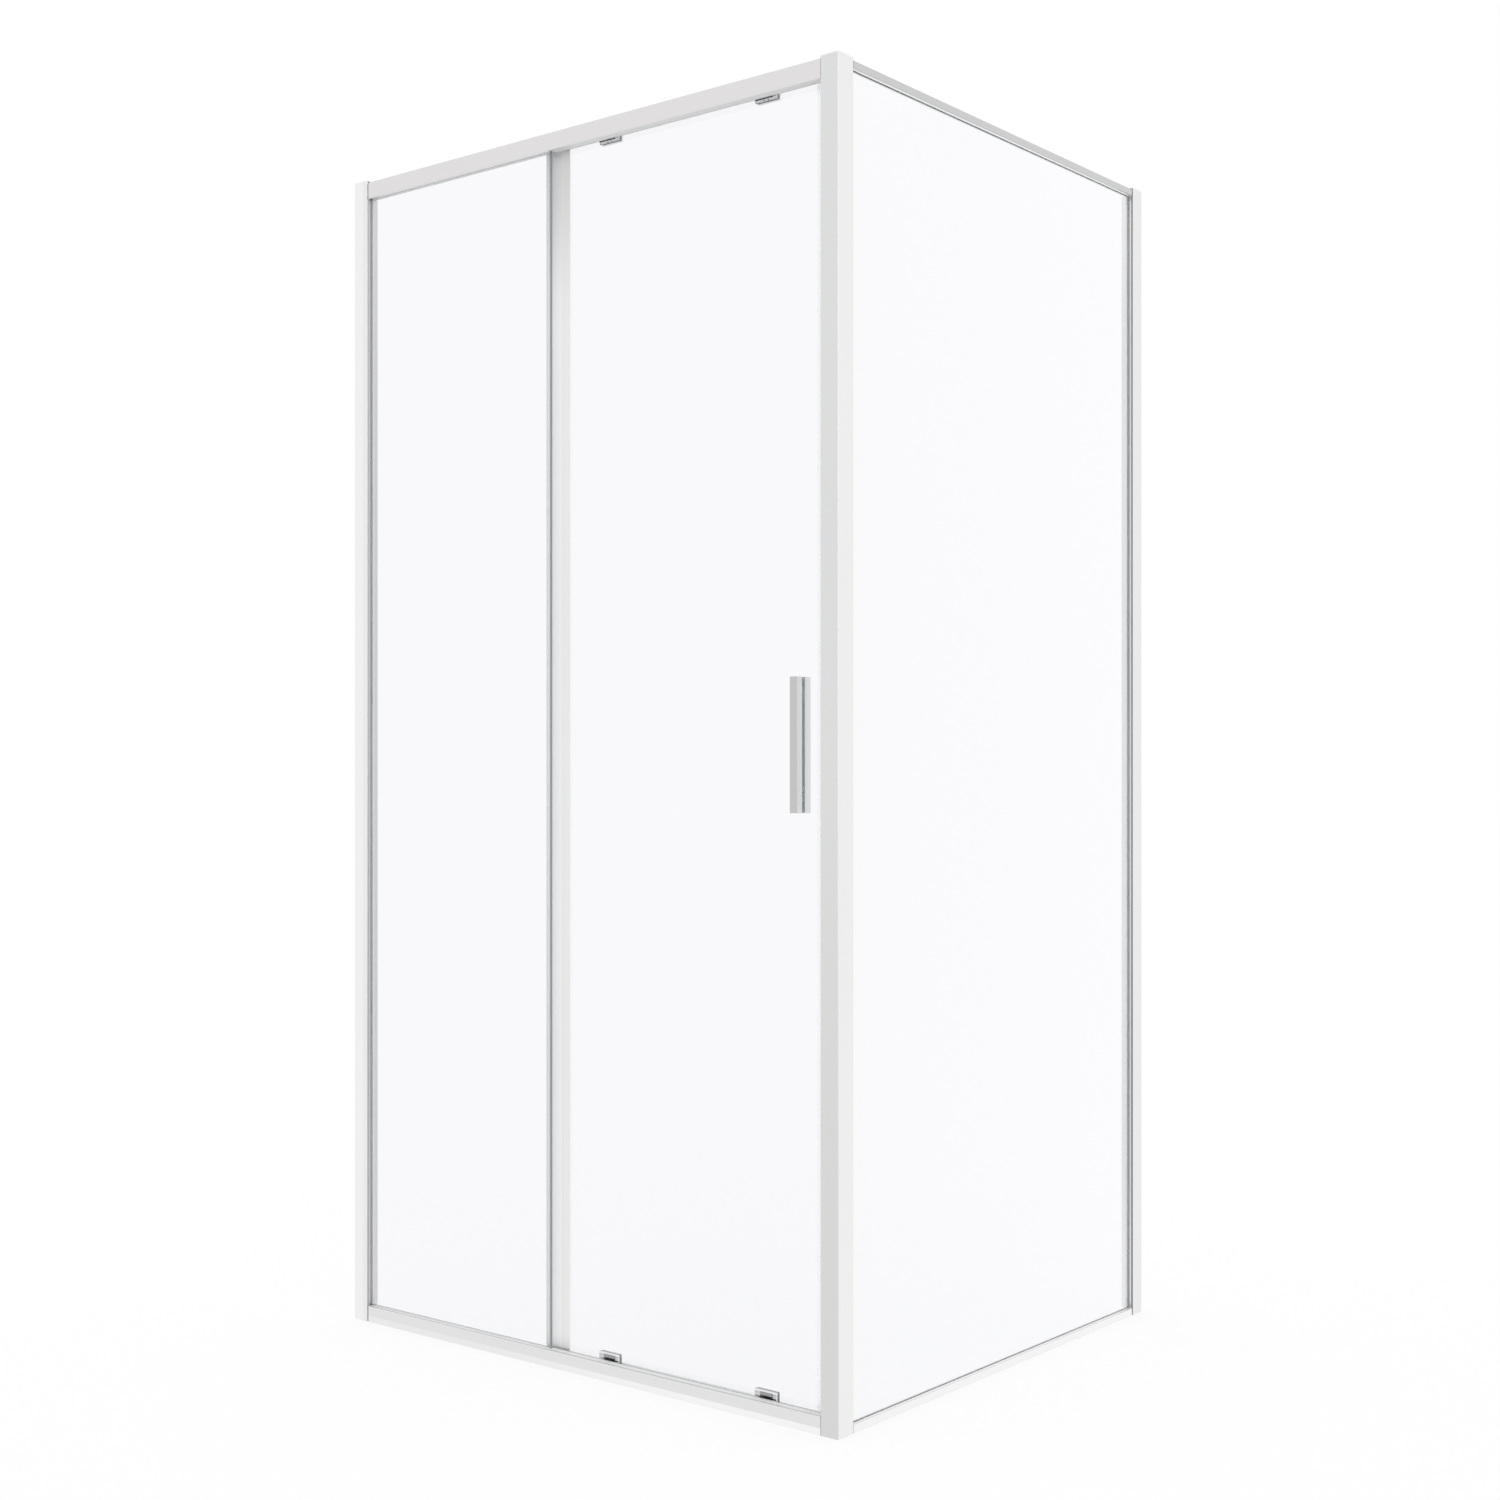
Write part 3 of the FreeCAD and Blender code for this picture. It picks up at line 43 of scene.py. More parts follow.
# The photograph's frame, in its own pixels, and the camera that stood before it.
PHOTO_SIDE = 1500
PHOTO_FOCAL = 2060.9
PHOTO_CENTRE = (676.5, 777.0)
SENSOR_MM = 36.0
CAMERA_AT = Vector((2.1316, -2.7458, 0.9066))
CAMERA_TURN = math.radians(39.882)
CAMERA_CLIP_END = 200.0

# The enclosure's own directions: a profile's die lines run along one, a pane faces another.
ALONG_X = (1.0, 0.0, 0.0)
ALONG_Y = (0.0, 1.0, 0.0)
ALONG_Z = (0.0, 0.0, 1.0)

WHITE = (1.0, 1.0, 1.0, 1.0)

# Painted light: the post's front face is painted lighter from the floor to this share of its
# height.
POST_FRONT_PAINTED_LIGHT_SHARE = 0.6

# Where painted light and shade start and end on a piece: painted shade along X on the wall
# profile's face, painted light along X on the skirt, and painted shade in height on the bottom
# rail's fold and the door stile's top.
WALL_FACE_PAINTED_SHADE = (-0.477, -0.472)
BOTTOM_RAIL_FOLD_SHADE = (0.0262, 0.0266)
SKIRT_PAINTED_LIGHT = (-0.3, 0.3)
DOOR_STILE_TOP_SHADE = (1.6, 1.87)

# Widths of the door stile's slope and of the groove beside it.
DOOR_STILE_SLOPE = 0.013
DOOR_STILE_GROOVE = 0.0009

# Widths of the soft steps in painted light and shade where one face of a piece meets the next, and
# half the width of the step between a gasket's outer and inner strip.
CORNER_STEP = 0.0004
WALL_END_STEP = 0.0006
HANDLE_SIDE_STEP = 0.0008
GASKET_HALF_STEP = 0.0005

# Noise textures vary about this value. Grain is the scale of that noise, per metre.
NOISE_MIDDLE = 0.5
PLASTIC_GRAIN = 1500.0
RUBBER_GRAIN = 2500.0

# Where the cosine between a pane's surface and its direction is above this, the surface is one
# of the pane's two faces. The rest of it is the ground edge.
FACE_LIMIT = 0.5


# Node helpers.


def add_node(tree, kind, inputs=None, **settings):
    node = tree.nodes.new(kind)
    for name, value in settings.items():
        setattr(node, name, value)
    for name, value in (inputs or {}).items():
        node.inputs[name].default_value = value
    return node


def link(tree, source, output, target, name):
    tree.links.new(source.outputs[output], target.inputs[name])


def math_node(tree, operation, first, second=None, clamp=False):
    """A Math node whose operands are numbers or (node, output) pairs."""
    node = add_node(tree, "ShaderNodeMath", operation=operation, use_clamp=clamp)
    for index, value in enumerate((first, second)):
        if isinstance(value, tuple):
            tree.links.new(value[0].outputs[value[1]], node.inputs[index])
        elif value is not None:
            node.inputs[index].default_value = value
    return node


def new_group(name, inputs, outputs):
    """A node group with named sockets, and its two end nodes."""
    group = bpy.data.node_groups.new(name, "ShaderNodeTree")
    for label, kind, value in inputs:
        socket = group.interface.new_socket(label, in_out="INPUT", socket_type=kind)
        socket.default_value = value
    for label, kind in outputs:
        group.interface.new_socket(label, in_out="OUTPUT", socket_type=kind)
    start = group.nodes.new("NodeGroupInput")
    end = group.nodes.new("NodeGroupOutput")
    return group, start, end


def place_group(tree, group, values):
    node = add_node(tree, "ShaderNodeGroup", node_tree=group)
    for name, value in values.items():
        node.inputs[name].default_value = value
    return node


def new_material(name):
    material = bpy.data.materials.new(name)
    material.use_nodes = True
    tree = material.node_tree
    tree.nodes.clear()
    output = tree.nodes.new("ShaderNodeOutputMaterial")
    return material, tree, output


def add_bump(tree, shader, source, output, strength, distance):
    bump = add_node(tree, "ShaderNodeBump", {"Strength": strength, "Distance": distance})
    link(tree, source, output, bump, "Height")
    link(tree, bump, "Normal", shader, "Normal")


# Effects that several finishes share.


def tone_colour(group, start, tone, end):
    """Make a group's colour lighter or darker by a tone that varies about zero."""
    lift = math_node(group, "ADD", (tone, "Value"), 1.0)
    toned = add_node(group, "ShaderNodeVectorMath", operation="SCALE")
    link(group, start, "Colour", toned, 0)
    link(group, lift, "Value", toned, "Scale")
    link(group, toned, "Vector", end, "Colour")


def die_lines_group():
    """Long fine lines that a die leaves along an extrusion, and the slow drift of its tone."""
    group, start, end = new_group(
        "die lines",
        [("Across", "NodeSocketVector", (900.0, 900.0, 1.5)),
         ("Colour", "NodeSocketColor", (0.7, 0.7, 0.7, 1.0)),
         ("Line Tone", "NodeSocketFloat", 0.03),
         ("Drift Tone", "NodeSocketFloat", 0.03),
         ("Roughness", "NodeSocketFloat", 0.3),
         ("Roughness Range", "NodeSocketFloat", 0.06)],
        [("Colour", "NodeSocketColor"), ("Roughness", "NodeSocketFloat"),
         ("Height", "NodeSocketFloat")])
    place = add_node(group, "ShaderNodeTexCoord")
    stretch = add_node(group, "ShaderNodeVectorMath", operation="MULTIPLY")
    link(group, place, "Object", stretch, 0)
    link(group, start, "Across", stretch, 1)
    lines = add_node(group, "ShaderNodeTexNoise", {"Scale": 1.0, "Detail": 3.0, "Roughness": 0.6})
    link(group, stretch, "Vector", lines, "Vector")
    drift = add_node(group, "ShaderNodeTexNoise", {"Scale": 2.3, "Detail": 2.0, "Roughness": 0.5})
    link(group, place, "Object", drift, "Vector")
    line_part = math_node(group, "SUBTRACT", (lines, "Fac"), NOISE_MIDDLE)
    line_tone = math_node(group, "MULTIPLY", (line_part, "Value"), (start, "Line Tone"))
    drift_part = math_node(group, "SUBTRACT", (drift, "Fac"), NOISE_MIDDLE)
    drift_tone = math_node(group, "MULTIPLY", (drift_part, "Value"), (start, "Drift Tone"))
    tone = math_node(group, "ADD", (line_tone, "Value"), (drift_tone, "Value"))
    tone_colour(group, start, tone, end)
    rough_part = math_node(group, "MULTIPLY", (line_part, "Value"), (start, "Roughness Range"))
    rough = math_node(group, "ADD", (rough_part, "Value"), (start, "Roughness"), clamp=True)
    link(group, rough, "Value", end, "Roughness")
    link(group, lines, "Fac", end, "Height")
    return group


def wiped_group():
    """Soft patches where a wiped surface is a little duller."""
    group, start, end = new_group(
        "wiped patches",
        [("Patch Size", "NodeSocketFloat", 9.0), ("Roughness", "NodeSocketFloat", 0.1),
         ("Roughness Range", "NodeSocketFloat", 0.08)],
        [("Roughness", "NodeSocketFloat"), ("Mask", "NodeSocketFloat")])
    place = add_node(group, "ShaderNodeTexCoord")
    patches = add_node(group, "ShaderNodeTexNoise", {"Detail": 4.0, "Roughness": 0.55})
    link(group, place, "Object", patches, "Vector")
    link(group, start, "Patch Size", patches, "Scale")
    part = math_node(group, "MULTIPLY", (patches, "Fac"), (start, "Roughness Range"))
    rough = math_node(group, "ADD", (part, "Value"), (start, "Roughness"), clamp=True)
    link(group, rough, "Value", end, "Roughness")
    link(group, patches, "Fac", end, "Mask")
    return group


def moulded_group():
    """Fine even grain of a moulded or extruded plastic or rubber."""
    group, start, end = new_group(
        "moulded grain",
        [("Colour", "NodeSocketColor", (0.5, 0.5, 0.5, 1.0)),
         ("Grain", "NodeSocketFloat", PLASTIC_GRAIN), ("Tone", "NodeSocketFloat", 0.06)],
        [("Colour", "NodeSocketColor"), ("Height", "NodeSocketFloat")])
    place = add_node(group, "ShaderNodeTexCoord")
    grain = add_node(group, "ShaderNodeTexNoise", {"Detail": 2.0, "Roughness": 0.6})
    link(group, place, "Object", grain, "Vector")
    link(group, start, "Grain", grain, "Scale")
    part = math_node(group, "SUBTRACT", (grain, "Fac"), NOISE_MIDDLE)
    tone = math_node(group, "MULTIPLY", (part, "Value"), (start, "Tone"))
    tone_colour(group, start, tone, end)
    link(group, grain, "Fac", end, "Height")
    return group


def place_mask_group():
    """0 before one place along a direction and 1 after another, with a soft step between them."""
    group, start, end = new_group(
        "place mask",
        [("Direction", "NodeSocketVector", ALONG_Z), ("Start", "NodeSocketFloat", 0.0),
         ("End", "NodeSocketFloat", 1.0)],
        [("Mask", "NodeSocketFloat")])
    place = add_node(group, "ShaderNodeTexCoord")
    along = add_node(group, "ShaderNodeVectorMath", operation="DOT_PRODUCT")
    link(group, place, "Object", along, 0)
    link(group, start, "Direction", along, 1)
    step = add_node(group, "ShaderNodeMapRange", interpolation_type="SMOOTHSTEP")
    link(group, along, "Value", step, "Value")
    link(group, start, "Start", step, "From Min")
    link(group, start, "End", step, "From Max")
    link(group, step, "Result", end, "Mask")
    return group


DIE_LINES = die_lines_group()
WIPED = wiped_group()
MOULDED = moulded_group()
PLACE_MASK = place_mask_group()


def across(along, lines_per_metre=1400.0, along_per_metre=1.2):
    """A texture scale, coarse along the piece and fine across it."""
    return tuple(along_per_metre if part else lines_per_metre for part in along)


def shade(tree, target, colour, changes):
    """Set a colour socket, turning to another colour past each (direction, start, end, colour)."""
    target.default_value = (*colour, 1.0)
    before = None
    for direction, start, end, colour_after in changes:
        mask = place_group(tree, PLACE_MASK, {"Direction": direction, "Start": start, "End": end})
        mix = add_node(tree, "ShaderNodeMix", data_type="RGBA")
        mix.inputs["A"].default_value = (*colour, 1.0)
        if before:
            tree.links.new(before, mix.inputs["A"])
        mix.inputs["B"].default_value = (*colour_after, 1.0)
        tree.links.new(mask.outputs["Mask"], mix.inputs["Factor"])
        before = mix.outputs["Result"]
    if before:
        tree.links.new(before, target)


def grey(level):
    return (level, level, level)


# Finishes.


def lined_metal(name, colour, changes, lines, strength, distance):
    """Metal whose colour, gloss and relief follow fine lines along its length."""
    material, tree, output = new_material(name)
    shader = add_node(tree, "ShaderNodeBsdfPrincipled", {"Metallic": 1.0})
    lined = place_group(tree, DIE_LINES, lines)
    shade(tree, lined.inputs["Colour"], colour, changes)
    link(tree, lined, "Colour", shader, "Base Color")
    link(tree, lined, "Roughness", shader, "Roughness")
    add_bump(tree, shader, lined, "Height", strength, distance)
    link(tree, shader, "BSDF", output, "Surface")
    return material


def aluminium_finish(name, along, colour, roughness=0.3, changes=()):
    """Bright anodised extrusion with faint die lines along its length."""
    lines = {"Across": across(along), "Line Tone": 0.05, "Drift Tone": 0.05,
             "Roughness": roughness, "Roughness Range": 0.12}
    return lined_metal(name, colour, changes, lines, strength=0.25, distance=0.00002)


def satin_finish(name, along, colour, roughness, changes=()):
    """Satin plated bar with a fine brushed grain."""
    brushed = across(along, lines_per_metre=2600.0, along_per_metre=12.0)
    lines = {"Across": brushed, "Line Tone": 0.1, "Drift Tone": 0.03,
             "Roughness": roughness, "Roughness Range": 0.2}
    return lined_metal(name, colour, changes, lines, strength=0.35, distance=0.00003)


def chrome_finish(name, colour, roughness):
    """Plated or polished metal with faint wiped patches."""
    material, tree, output = new_material(name)
    shader = add_node(tree, "ShaderNodeBsdfPrincipled", {"Metallic": 1.0})
    shader.inputs["Base Color"].default_value = (*colour, 1.0)
    patches = place_group(tree, WIPED, {"Patch Size": 60.0, "Roughness": roughness,
                                        "Roughness Range": 0.1})
    link(tree, patches, "Roughness", shader, "Roughness")
    add_bump(tree, shader, patches, "Mask", strength=0.05, distance=0.0001)
    link(tree, shader, "BSDF", output, "Surface")
    return material


def clear_plastic_finish(name, colour, roughness):
    """Soft clear plastic, a little cloudy, that light passes through."""
    material, tree, output = new_material(name)
    shader = add_node(tree, "ShaderNodeBsdfPrincipled",
                      {"Metallic": 0.0, "Transmission Weight": 1.0, "IOR": 1.35})
    cloudy = place_group(tree, MOULDED, {"Grain": 700.0, "Tone": 0.05})
    shade(tree, cloudy.inputs["Colour"], colour, ())
    link(tree, cloudy, "Colour", shader, "Base Color")
    patches = place_group(tree, WIPED, {"Patch Size": 90.0, "Roughness": roughness,
                                        "Roughness Range": 0.15})
    link(tree, patches, "Roughness", shader, "Roughness")
    pass_light(tree, shader.outputs["BSDF"], output)
    return material


def pass_light(tree, surface, output):
    """Lamps and bounced light pass straight through, so that a clear piece throws no solid
    shadow and leaves no dark line in the bars beside it. What is seen through it still bends
    on the way in and on the way out."""
    path = add_node(tree, "ShaderNodeLightPath")
    lit = math_node(tree, "MAXIMUM", (path, "Is Shadow Ray"), (path, "Is Diffuse Ray"))
    mirrored = math_node(tree, "SUBTRACT", (path, "Is Glossy Ray"),
                         (path, "Is Transmission Ray"), clamp=True)
    passing = math_node(tree, "MAXIMUM", (lit, "Value"), (mirrored, "Value"))
    clear = add_node(tree, "ShaderNodeBsdfTransparent", {"Color": (0.95, 0.96, 0.965, 1.0)})
    mix = add_node(tree, "ShaderNodeMixShader")
    link(tree, passing, "Value", mix, "Fac")
    tree.links.new(surface, mix.inputs[1])
    tree.links.new(clear.outputs["BSDF"], mix.inputs[2])
    link(tree, mix, "Shader", output, "Surface")


def glass_finish(name, face_axis, body_colour, edge_colour):
    """Clear toughened glass whose ground edges are dull and grey."""
    material, tree, output = new_material(name)
    shader = add_node(tree, "ShaderNodeBsdfPrincipled",
                      {"Base Color": (*body_colour, 1.0), "Metallic": 0.0,
                       "Transmission Weight": 1.0, "IOR": 1.5})
    patches = place_group(tree, WIPED, {"Patch Size": 3.0, "Roughness": 0.0,
                                        "Roughness Range": 0.012})
    link(tree, patches, "Roughness", shader, "Roughness")
    surface = add_node(tree, "ShaderNodeNewGeometry")
    facing = add_node(tree, "ShaderNodeVectorMath", operation="DOT_PRODUCT")
    link(tree, surface, "True Normal", facing, 0)
    facing.inputs[1].default_value = face_axis
    size = math_node(tree, "ABSOLUTE", (facing, "Value"))
    is_face = math_node(tree, "GREATER_THAN", (size, "Value"), FACE_LIMIT)
    ground = add_node(tree, "ShaderNodeBsdfDiffuse", {"Roughness": 0.6})
    grain = place_group(tree, MOULDED, {"Grain": 1800.0, "Tone": 0.3})
    shade(tree, grain.inputs["Colour"], edge_colour, ())
    link(tree, grain, "Colour", ground, "Color")
    pane = add_node(tree, "ShaderNodeMixShader")
    link(tree, is_face, "Value", pane, "Fac")
    tree.links.new(ground.outputs["BSDF"], pane.inputs[1])
    tree.links.new(shader.outputs["BSDF"], pane.inputs[2])
    pass_light(tree, pane.outputs["Shader"], output)
    return material


def plastic_finish(name, colour, roughness, grain=PLASTIC_GRAIN, changes=()):
    """Moulded plastic or rubber with a fine even grain."""
    material, tree, output = new_material(name)
    shader = add_node(tree, "ShaderNodeBsdfPrincipled",
                      {"Metallic": 0.0, "Roughness": roughness, "IOR": 1.5})
    grained = place_group(tree, MOULDED, {"Grain": grain, "Tone": 0.06})
    shade(tree, grained.inputs["Colour"], colour, changes)
    link(tree, grained, "Colour", shader, "Base Color")
    add_bump(tree, shader, grained, "Height", strength=0.3, distance=0.00004)
    link(tree, shader, "BSDF", output, "Surface")
    return material


def finish(material, *node_names):
    """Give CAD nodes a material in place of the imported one."""
    for name in node_names:
        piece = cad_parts[name]
        piece.data.materials.clear()
        piece.data.materials.append(material)


def sided(name):
    return [name + "_left", name + "_right"]


def middle_of(node_name, axis):
    """The middle of a node's box, on axis 0 for X or 1 for Y."""
    low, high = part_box(node_name)
    return (low[axis] + high[axis]) / 2


def dress_uprights():
    head = cad_box[1].z
    side_face = cad_box[1].x
    # Painted light: the post's front face is painted lighter upwards; its side face is even, in a
    # grey of its own for the light on that side.
    post = aluminium_finish(
        "corner_post_profile", ALONG_Z, grey(0.67),
        changes=[(ALONG_Z, 0.0, head * POST_FRONT_PAINTED_LIGHT_SHARE, (0.72, 0.722, 0.728)),
                 (ALONG_X, side_face - CORNER_STEP, side_face, grey(0.705))])
    finish(post, "corner_post")
    # Painted shade: the wall profile's face is painted darker towards the stile.
    wall_front = aluminium_finish("wall_profile_front", ALONG_Z, grey(0.87),
                                  changes=[(ALONG_X, *WALL_FACE_PAINTED_SHADE, grey(0.82))])
    finish(wall_front, "wall_profile_front")
    # Painted shade: the side profile's narrow end is painted dark, where it turns away from the
    # light.
    side_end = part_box("wall_profile_side")[0].y
    wall_side = aluminium_finish(
        "wall_profile_side", ALONG_Z, grey(0.3),
        changes=[(ALONG_Y, side_end, side_end + WALL_END_STEP, grey(0.67))])
    finish(wall_side, "wall_profile_side")
    # Painted shade: the front stile is a darker copy of the side stile's aluminium, for the shade
    # it sits in behind the wall profile and the pane.
    front_stile = aluminium_finish("frame_stile_front_profile", ALONG_Z, grey(0.54))
    finish(front_stile, "frame_stile_front")
    side_stile = aluminium_finish("frame_stile_side_profile", ALONG_Z, grey(0.8))
    finish(side_stile, "frame_stile_side")


def dress_rails():
    top = aluminium_finish("top_rail_profile", ALONG_X, (0.745, 0.73, 0.737))
    finish(top, "top_rail")
    # The rail's upper face meets its front face in a fold that takes less light, painted in as a
    # darker band: painted shade.
    bottom = aluminium_finish("bottom_rail_profile", ALONG_X, (0.765, 0.755, 0.76),
                              changes=[(ALONG_Z, *BOTTOM_RAIL_FOLD_SHADE, grey(0.5))])
    finish(bottom, "bottom_rail")
    # Painted light: the skirt is painted lighter towards the right.
    skirt = aluminium_finish("skirt_profile", ALONG_X, grey(0.82), roughness=0.4,
                             changes=[(ALONG_X, *SKIRT_PAINTED_LIGHT, grey(0.9))])
    finish(skirt, "bottom_rail_skirt")
    # Painted shade: the side top rail is a darker copy of the rails' aluminium, for the shade on
    # its underside.
    side_top = aluminium_finish("side_top_profile", ALONG_Y, grey(0.5))
    finish(side_top, "side_top_rail")
    side_bottom = aluminium_finish("side_bottom_profile", ALONG_Y, grey(0.74))
    finish(side_bottom, "side_bottom_rail")


def rubber_finish(name, colour, roughness=0.6, changes=()):
    return plastic_finish(name, colour, roughness, RUBBER_GRAIN, changes)


def dress_frame_plastics():
    cap = plastic_finish("cap_plastic", (0.83, 0.83, 0.84), roughness=0.35)
    finish(cap, "wall_profile_caps", "corner_post_cap")
    # Painted shade: the top rail's strip is a darker copy of the bottom rail's, for the shade on
    # the rail's underside.
    top_strip = plastic_finish("top_slot_infill", grey(0.64), roughness=0.45)
    finish(top_strip, "top_rail_infill")
    bottom_strip = plastic_finish("bottom_slot_infill", grey(0.8), roughness=0.45)
    finish(bottom_strip, "bottom_rail_infill")
    # Each pane is held by a dark strip on its outer face and a strip on its inner face that is
    # painted pale: painted light against the shade in the slot behind the pane.
    dark, pale = grey(0.36), grey(0.9)
    pane_y = middle_of("fixed_pane", 1)
    pane_x = middle_of("side_pane", 0)
    front = rubber_finish(
        "front_gasket_rubber", dark,
        changes=[(ALONG_Y, pane_y - GASKET_HALF_STEP, pane_y + GASKET_HALF_STEP, pale)])
    finish(front, "fixed_pane_gasket_stile")
    side = rubber_finish(
        "side_gasket_rubber", pale,
        changes=[(ALONG_X, pane_x - GASKET_HALF_STEP, pane_x + GASKET_HALF_STEP, dark)])
    finish(side, "side_pane_gasket_stile", "side_pane_gasket_post")
    # Painted light: the bottom and side rail gaskets are painted near white, so that the shade
    # they sit in shows no dark line; the top one is a darker grey.
    finish(rubber_finish("top_gasket_rubber", grey(0.72)), "fixed_pane_gasket_top")
    finish(rubber_finish("bottom_gasket_rubber", grey(0.92)), "fixed_pane_gasket_bottom")
    finish(rubber_finish("side_rail_gasket_rubber", grey(0.92)), "side_pane_gasket_rails")
    block = plastic_finish("moulded_block", (0.55, 0.55, 0.56), roughness=0.5)
    finish(block, "setting_blocks", "rail_connectors", "door_stops")


def dress_screws():
    steel = chrome_finish("stainless_screw", (0.62, 0.62, 0.63), roughness=0.25)
    finish(steel, "frame_screws", "rail_screws", "wheel_axles", "roller_pins", "handle_screws")
    # Painted shade: the clamp screws are a dark copy of the stainless steel, for the shade they
    # sit in.
    shaded_steel = chrome_finish("clamp_screw_steel", (0.2, 0.2, 0.205), roughness=0.3)
    finish(shaded_steel, "clamp_screws")


def dress_door_profiles():
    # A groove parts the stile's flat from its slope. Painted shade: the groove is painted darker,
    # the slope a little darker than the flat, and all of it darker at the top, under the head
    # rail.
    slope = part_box("door_stile")[1].x - DOOR_STILE_SLOPE
    groove = slope - DOOR_STILE_GROOVE
    stile = aluminium_finish("door_stile_profile", ALONG_Z, grey(0.87), roughness=0.5,
                             changes=[(ALONG_X, groove - CORNER_STEP, groove, grey(0.72)),
                                      (ALONG_X, slope, slope + CORNER_STEP, grey(0.82)),
                                      (ALONG_Z, *DOOR_STILE_TOP_SHADE, grey(0.66))])
    finish(stile, "door_stile")
    fin = plastic_finish("fin_seal_plastic", grey(0.8), roughness=0.3)
    finish(fin, "door_fin_seal")
    seal = clear_plastic_finish("clear_seal", (0.95, 0.955, 0.96), roughness=0.08)
    finish(seal, "door_magnet_seal", "door_bottom_seal", "post_magnet_seal")


def dress_hangers_and_guides():
    # Painted light and shade: the hanger's body, front plate and guide are copies of one chrome,
    # each painted its own level for the light it takes.
    hanger_body = chrome_finish("fitting_chrome", (0.68, 0.68, 0.685), roughness=0.06)
    finish(hanger_body, *sided("carriage_body"))
    guide = chrome_finish("guide_chrome", (0.8, 0.8, 0.805), roughness=0.06)
    finish(guide, *sided("guide_plate"), *sided("guide_body"))
    hanger_front = chrome_finish("hanger_front_chrome", (0.56, 0.56, 0.565), roughness=0.08)
    finish(hanger_front, *sided("carriage_plate"))
    hanger_liner = rubber_finish("hanger_liner_rubber", (0.012, 0.012, 0.013), roughness=0.75)
    finish(hanger_liner, *sided("carriage_liner"))
    guide_liner = rubber_finish("guide_liner_rubber", (0.13, 0.13, 0.133), roughness=0.7)
    finish(guide_liner, *sided("guide_liner"))
    tab = plastic_finish("release_tab_plastic", (0.36, 0.36, 0.37), roughness=0.35)
    finish(tab, *sided("release_tab"))
    nylon = plastic_finish("roller_nylon", (0.8, 0.8, 0.78), roughness=0.4)
    finish(nylon, *sided("wheel_left"), *sided("wheel_right"), *sided("guide_roller"))


def dress_handle():
    # Painted light: the outer bar's side is painted lighter, where it turns to the open light.
    bar_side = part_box("handle_outer")[1].x
    bar = satin_finish("handle_satin", ALONG_Z, grey(0.55), roughness=0.32,
                       changes=[(ALONG_X, bar_side - HANDLE_SIDE_STEP, bar_side, grey(0.68))])
    finish(bar, "handle_outer")
    # Painted light: the inner bar is a lighter copy of the same satin, against the shade behind
    # the outer bar and the glass.
    inner_bar = satin_finish("handle_inner_satin", ALONG_Z, grey(0.66), roughness=0.32)
    finish(inner_bar, "handle_inner")
    pad = plastic_finish("handle_pad_rubber", grey(0.62), roughness=0.5)
    finish(pad, "handle_pads")


def dress_glass():
    edge = (0.38, 0.386, 0.386)
    front = glass_finish("front_glass", ALONG_Y, (0.945, 0.945, 0.962), edge)
    finish(front, "fixed_pane", "door_glass")
    # Painted shade: the side pane is a darker copy of the front glass.
    side = glass_finish("side_glass", ALONG_X, (0.92, 0.92, 0.937), edge)
    finish(side, "side_pane")


# Studio.


def white_world():
    """The same white light from every side, which is also the backdrop."""
    world = bpy.data.worlds.new("white studio")
    world.use_nodes = True
    tree = world.node_tree
    tree.nodes.clear()
    output = tree.nodes.new("ShaderNodeOutputWorld")
    background = add_node(tree, "ShaderNodeBackground", {"Color": WHITE, "Strength": 1.0})
    link(tree, background, "Background", output, "Surface")
    bpy.context.scene.world = world


def white_floor(half_side, paint):
    """A wide pale floor: its paint takes the enclosure's shadow, and a glow makes up the white."""
    corners = [(-half_side, -half_side, 0.0), (half_side, -half_side, 0.0),
               (half_side, half_side, 0.0), (-half_side, half_side, 0.0)]
    mesh = bpy.data.meshes.new("studio_floor")
    mesh.from_pydata(corners, [], [(0, 1, 2, 3)])
    floor = bpy.data.objects.new("studio_floor", mesh)
    bpy.context.scene.collection.objects.link(floor)
    material, tree, output = new_material("studio_floor")
    surface = add_node(tree, "ShaderNodeBsdfDiffuse", {"Color": (paint, paint, paint, 1.0)})
    glow = add_node(tree, "ShaderNodeEmission", {"Color": WHITE, "Strength": 1.0 - paint})
    both = add_node(tree, "ShaderNodeAddShader")
    tree.links.new(surface.outputs["BSDF"], both.inputs[0])
    tree.links.new(glow.outputs["Emission"], both.inputs[1])
    link(tree, both, "Shader", output, "Surface")
    mesh.materials.append(material)
    # The white light also comes from below, so that the undersides stay pale.
    floor.visible_diffuse = False
    floor.visible_glossy = False
    floor.visible_shadow = False


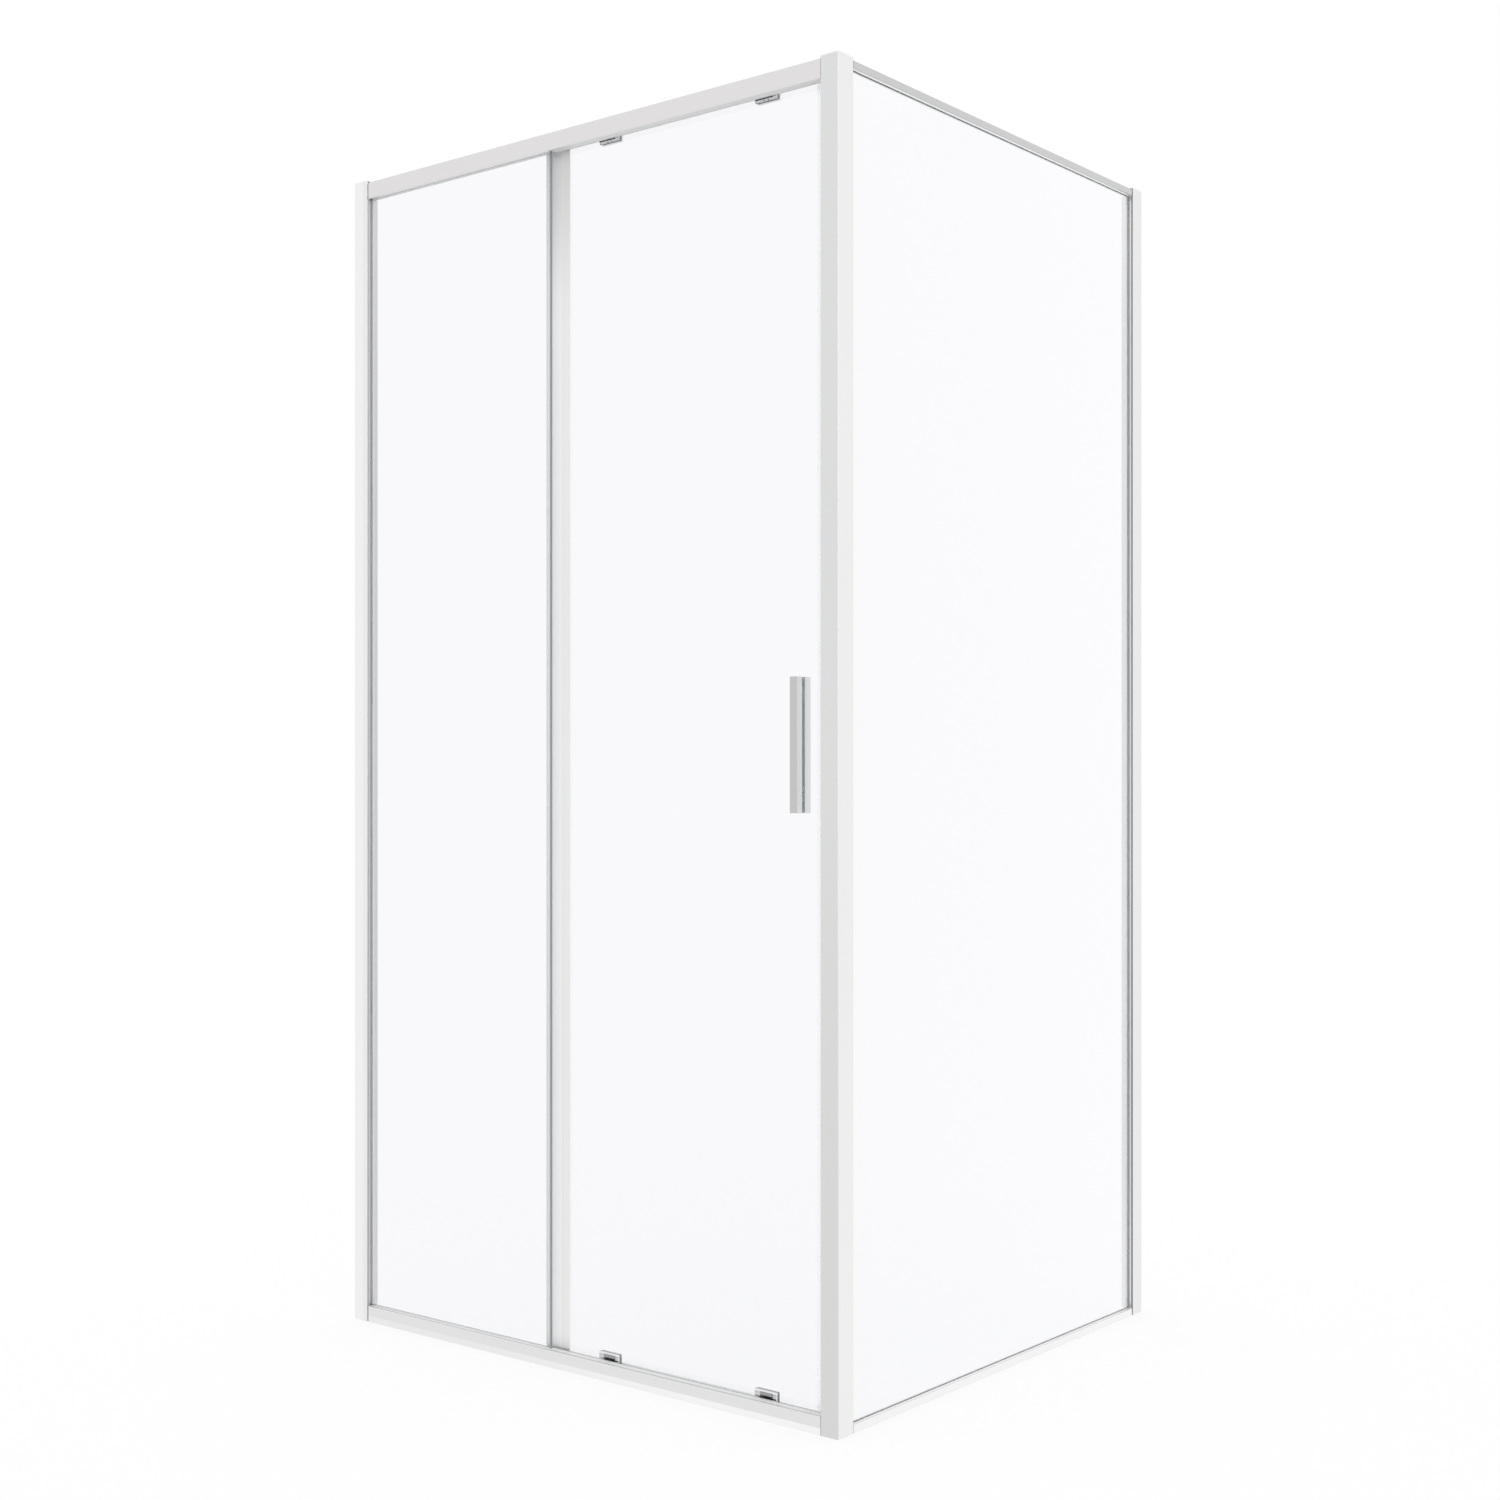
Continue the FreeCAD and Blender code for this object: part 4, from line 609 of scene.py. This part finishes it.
def softbox(name, direction, distance, wide, tall, radiance):
    """A rectangular lamp that faces the middle of the enclosure."""
    light = bpy.data.lights.new(name, "AREA")
    light.shape = "RECTANGLE"
    light.size = wide
    light.size_y = tall
    light.energy = radiance * math.pi * wide * tall
    lamp = bpy.data.objects.new(name, light)
    bpy.context.scene.collection.objects.link(lamp)
    middle = (cad_box[0] + cad_box[1]) / 2
    towards = Vector(direction).normalized()
    lamp.location = middle + towards * distance
    lamp.rotation_euler = (-towards).to_track_quat("-Z", "Y").to_euler()
    # It only brightens what mirrors it.
    lamp.visible_camera = False
    lamp.visible_diffuse = False
    lamp.visible_transmission = False


def light_studio():
    white_world()
    white_floor(half_side=40.0, paint=0.25)
    softbox("side_softbox", direction=(0.66, 0.75, 0.0), distance=4.6,
            wide=5.4, tall=7.0, radiance=0.22)
    softbox("corner_softbox", direction=(0.79, -0.6, 0.22), distance=4.6,
            wide=1.6, tall=3.4, radiance=1.5)
    softbox("top_softbox", direction=(0.05, -0.1, 1.0), distance=3.6,
            wide=4.0, tall=4.0, radiance=0.25)


def place_camera():
    data = bpy.data.cameras.new("photo_camera")
    data.sensor_fit = "HORIZONTAL"
    data.sensor_width = SENSOR_MM
    data.lens = PHOTO_FOCAL / PHOTO_SIDE * SENSOR_MM
    data.shift_x = (PHOTO_SIDE / 2 - PHOTO_CENTRE[0]) / PHOTO_SIDE
    data.shift_y = (PHOTO_CENTRE[1] - PHOTO_SIDE / 2) / PHOTO_SIDE
    data.clip_end = CAMERA_CLIP_END
    camera = bpy.data.objects.new("photo_camera", data)
    camera.location = CAMERA_AT
    camera.rotation_euler = (math.radians(90.0), 0.0, CAMERA_TURN)
    bpy.context.scene.collection.objects.link(camera)
    bpy.context.scene.camera = camera


bpy.context.scene.view_settings.view_transform = "Standard"
place_camera()
light_studio()
dress_uprights()
dress_rails()
dress_frame_plastics()
dress_screws()
dress_door_profiles()
dress_hangers_and_guides()
dress_handle()
dress_glass()

bpy.context.view_layer.update()
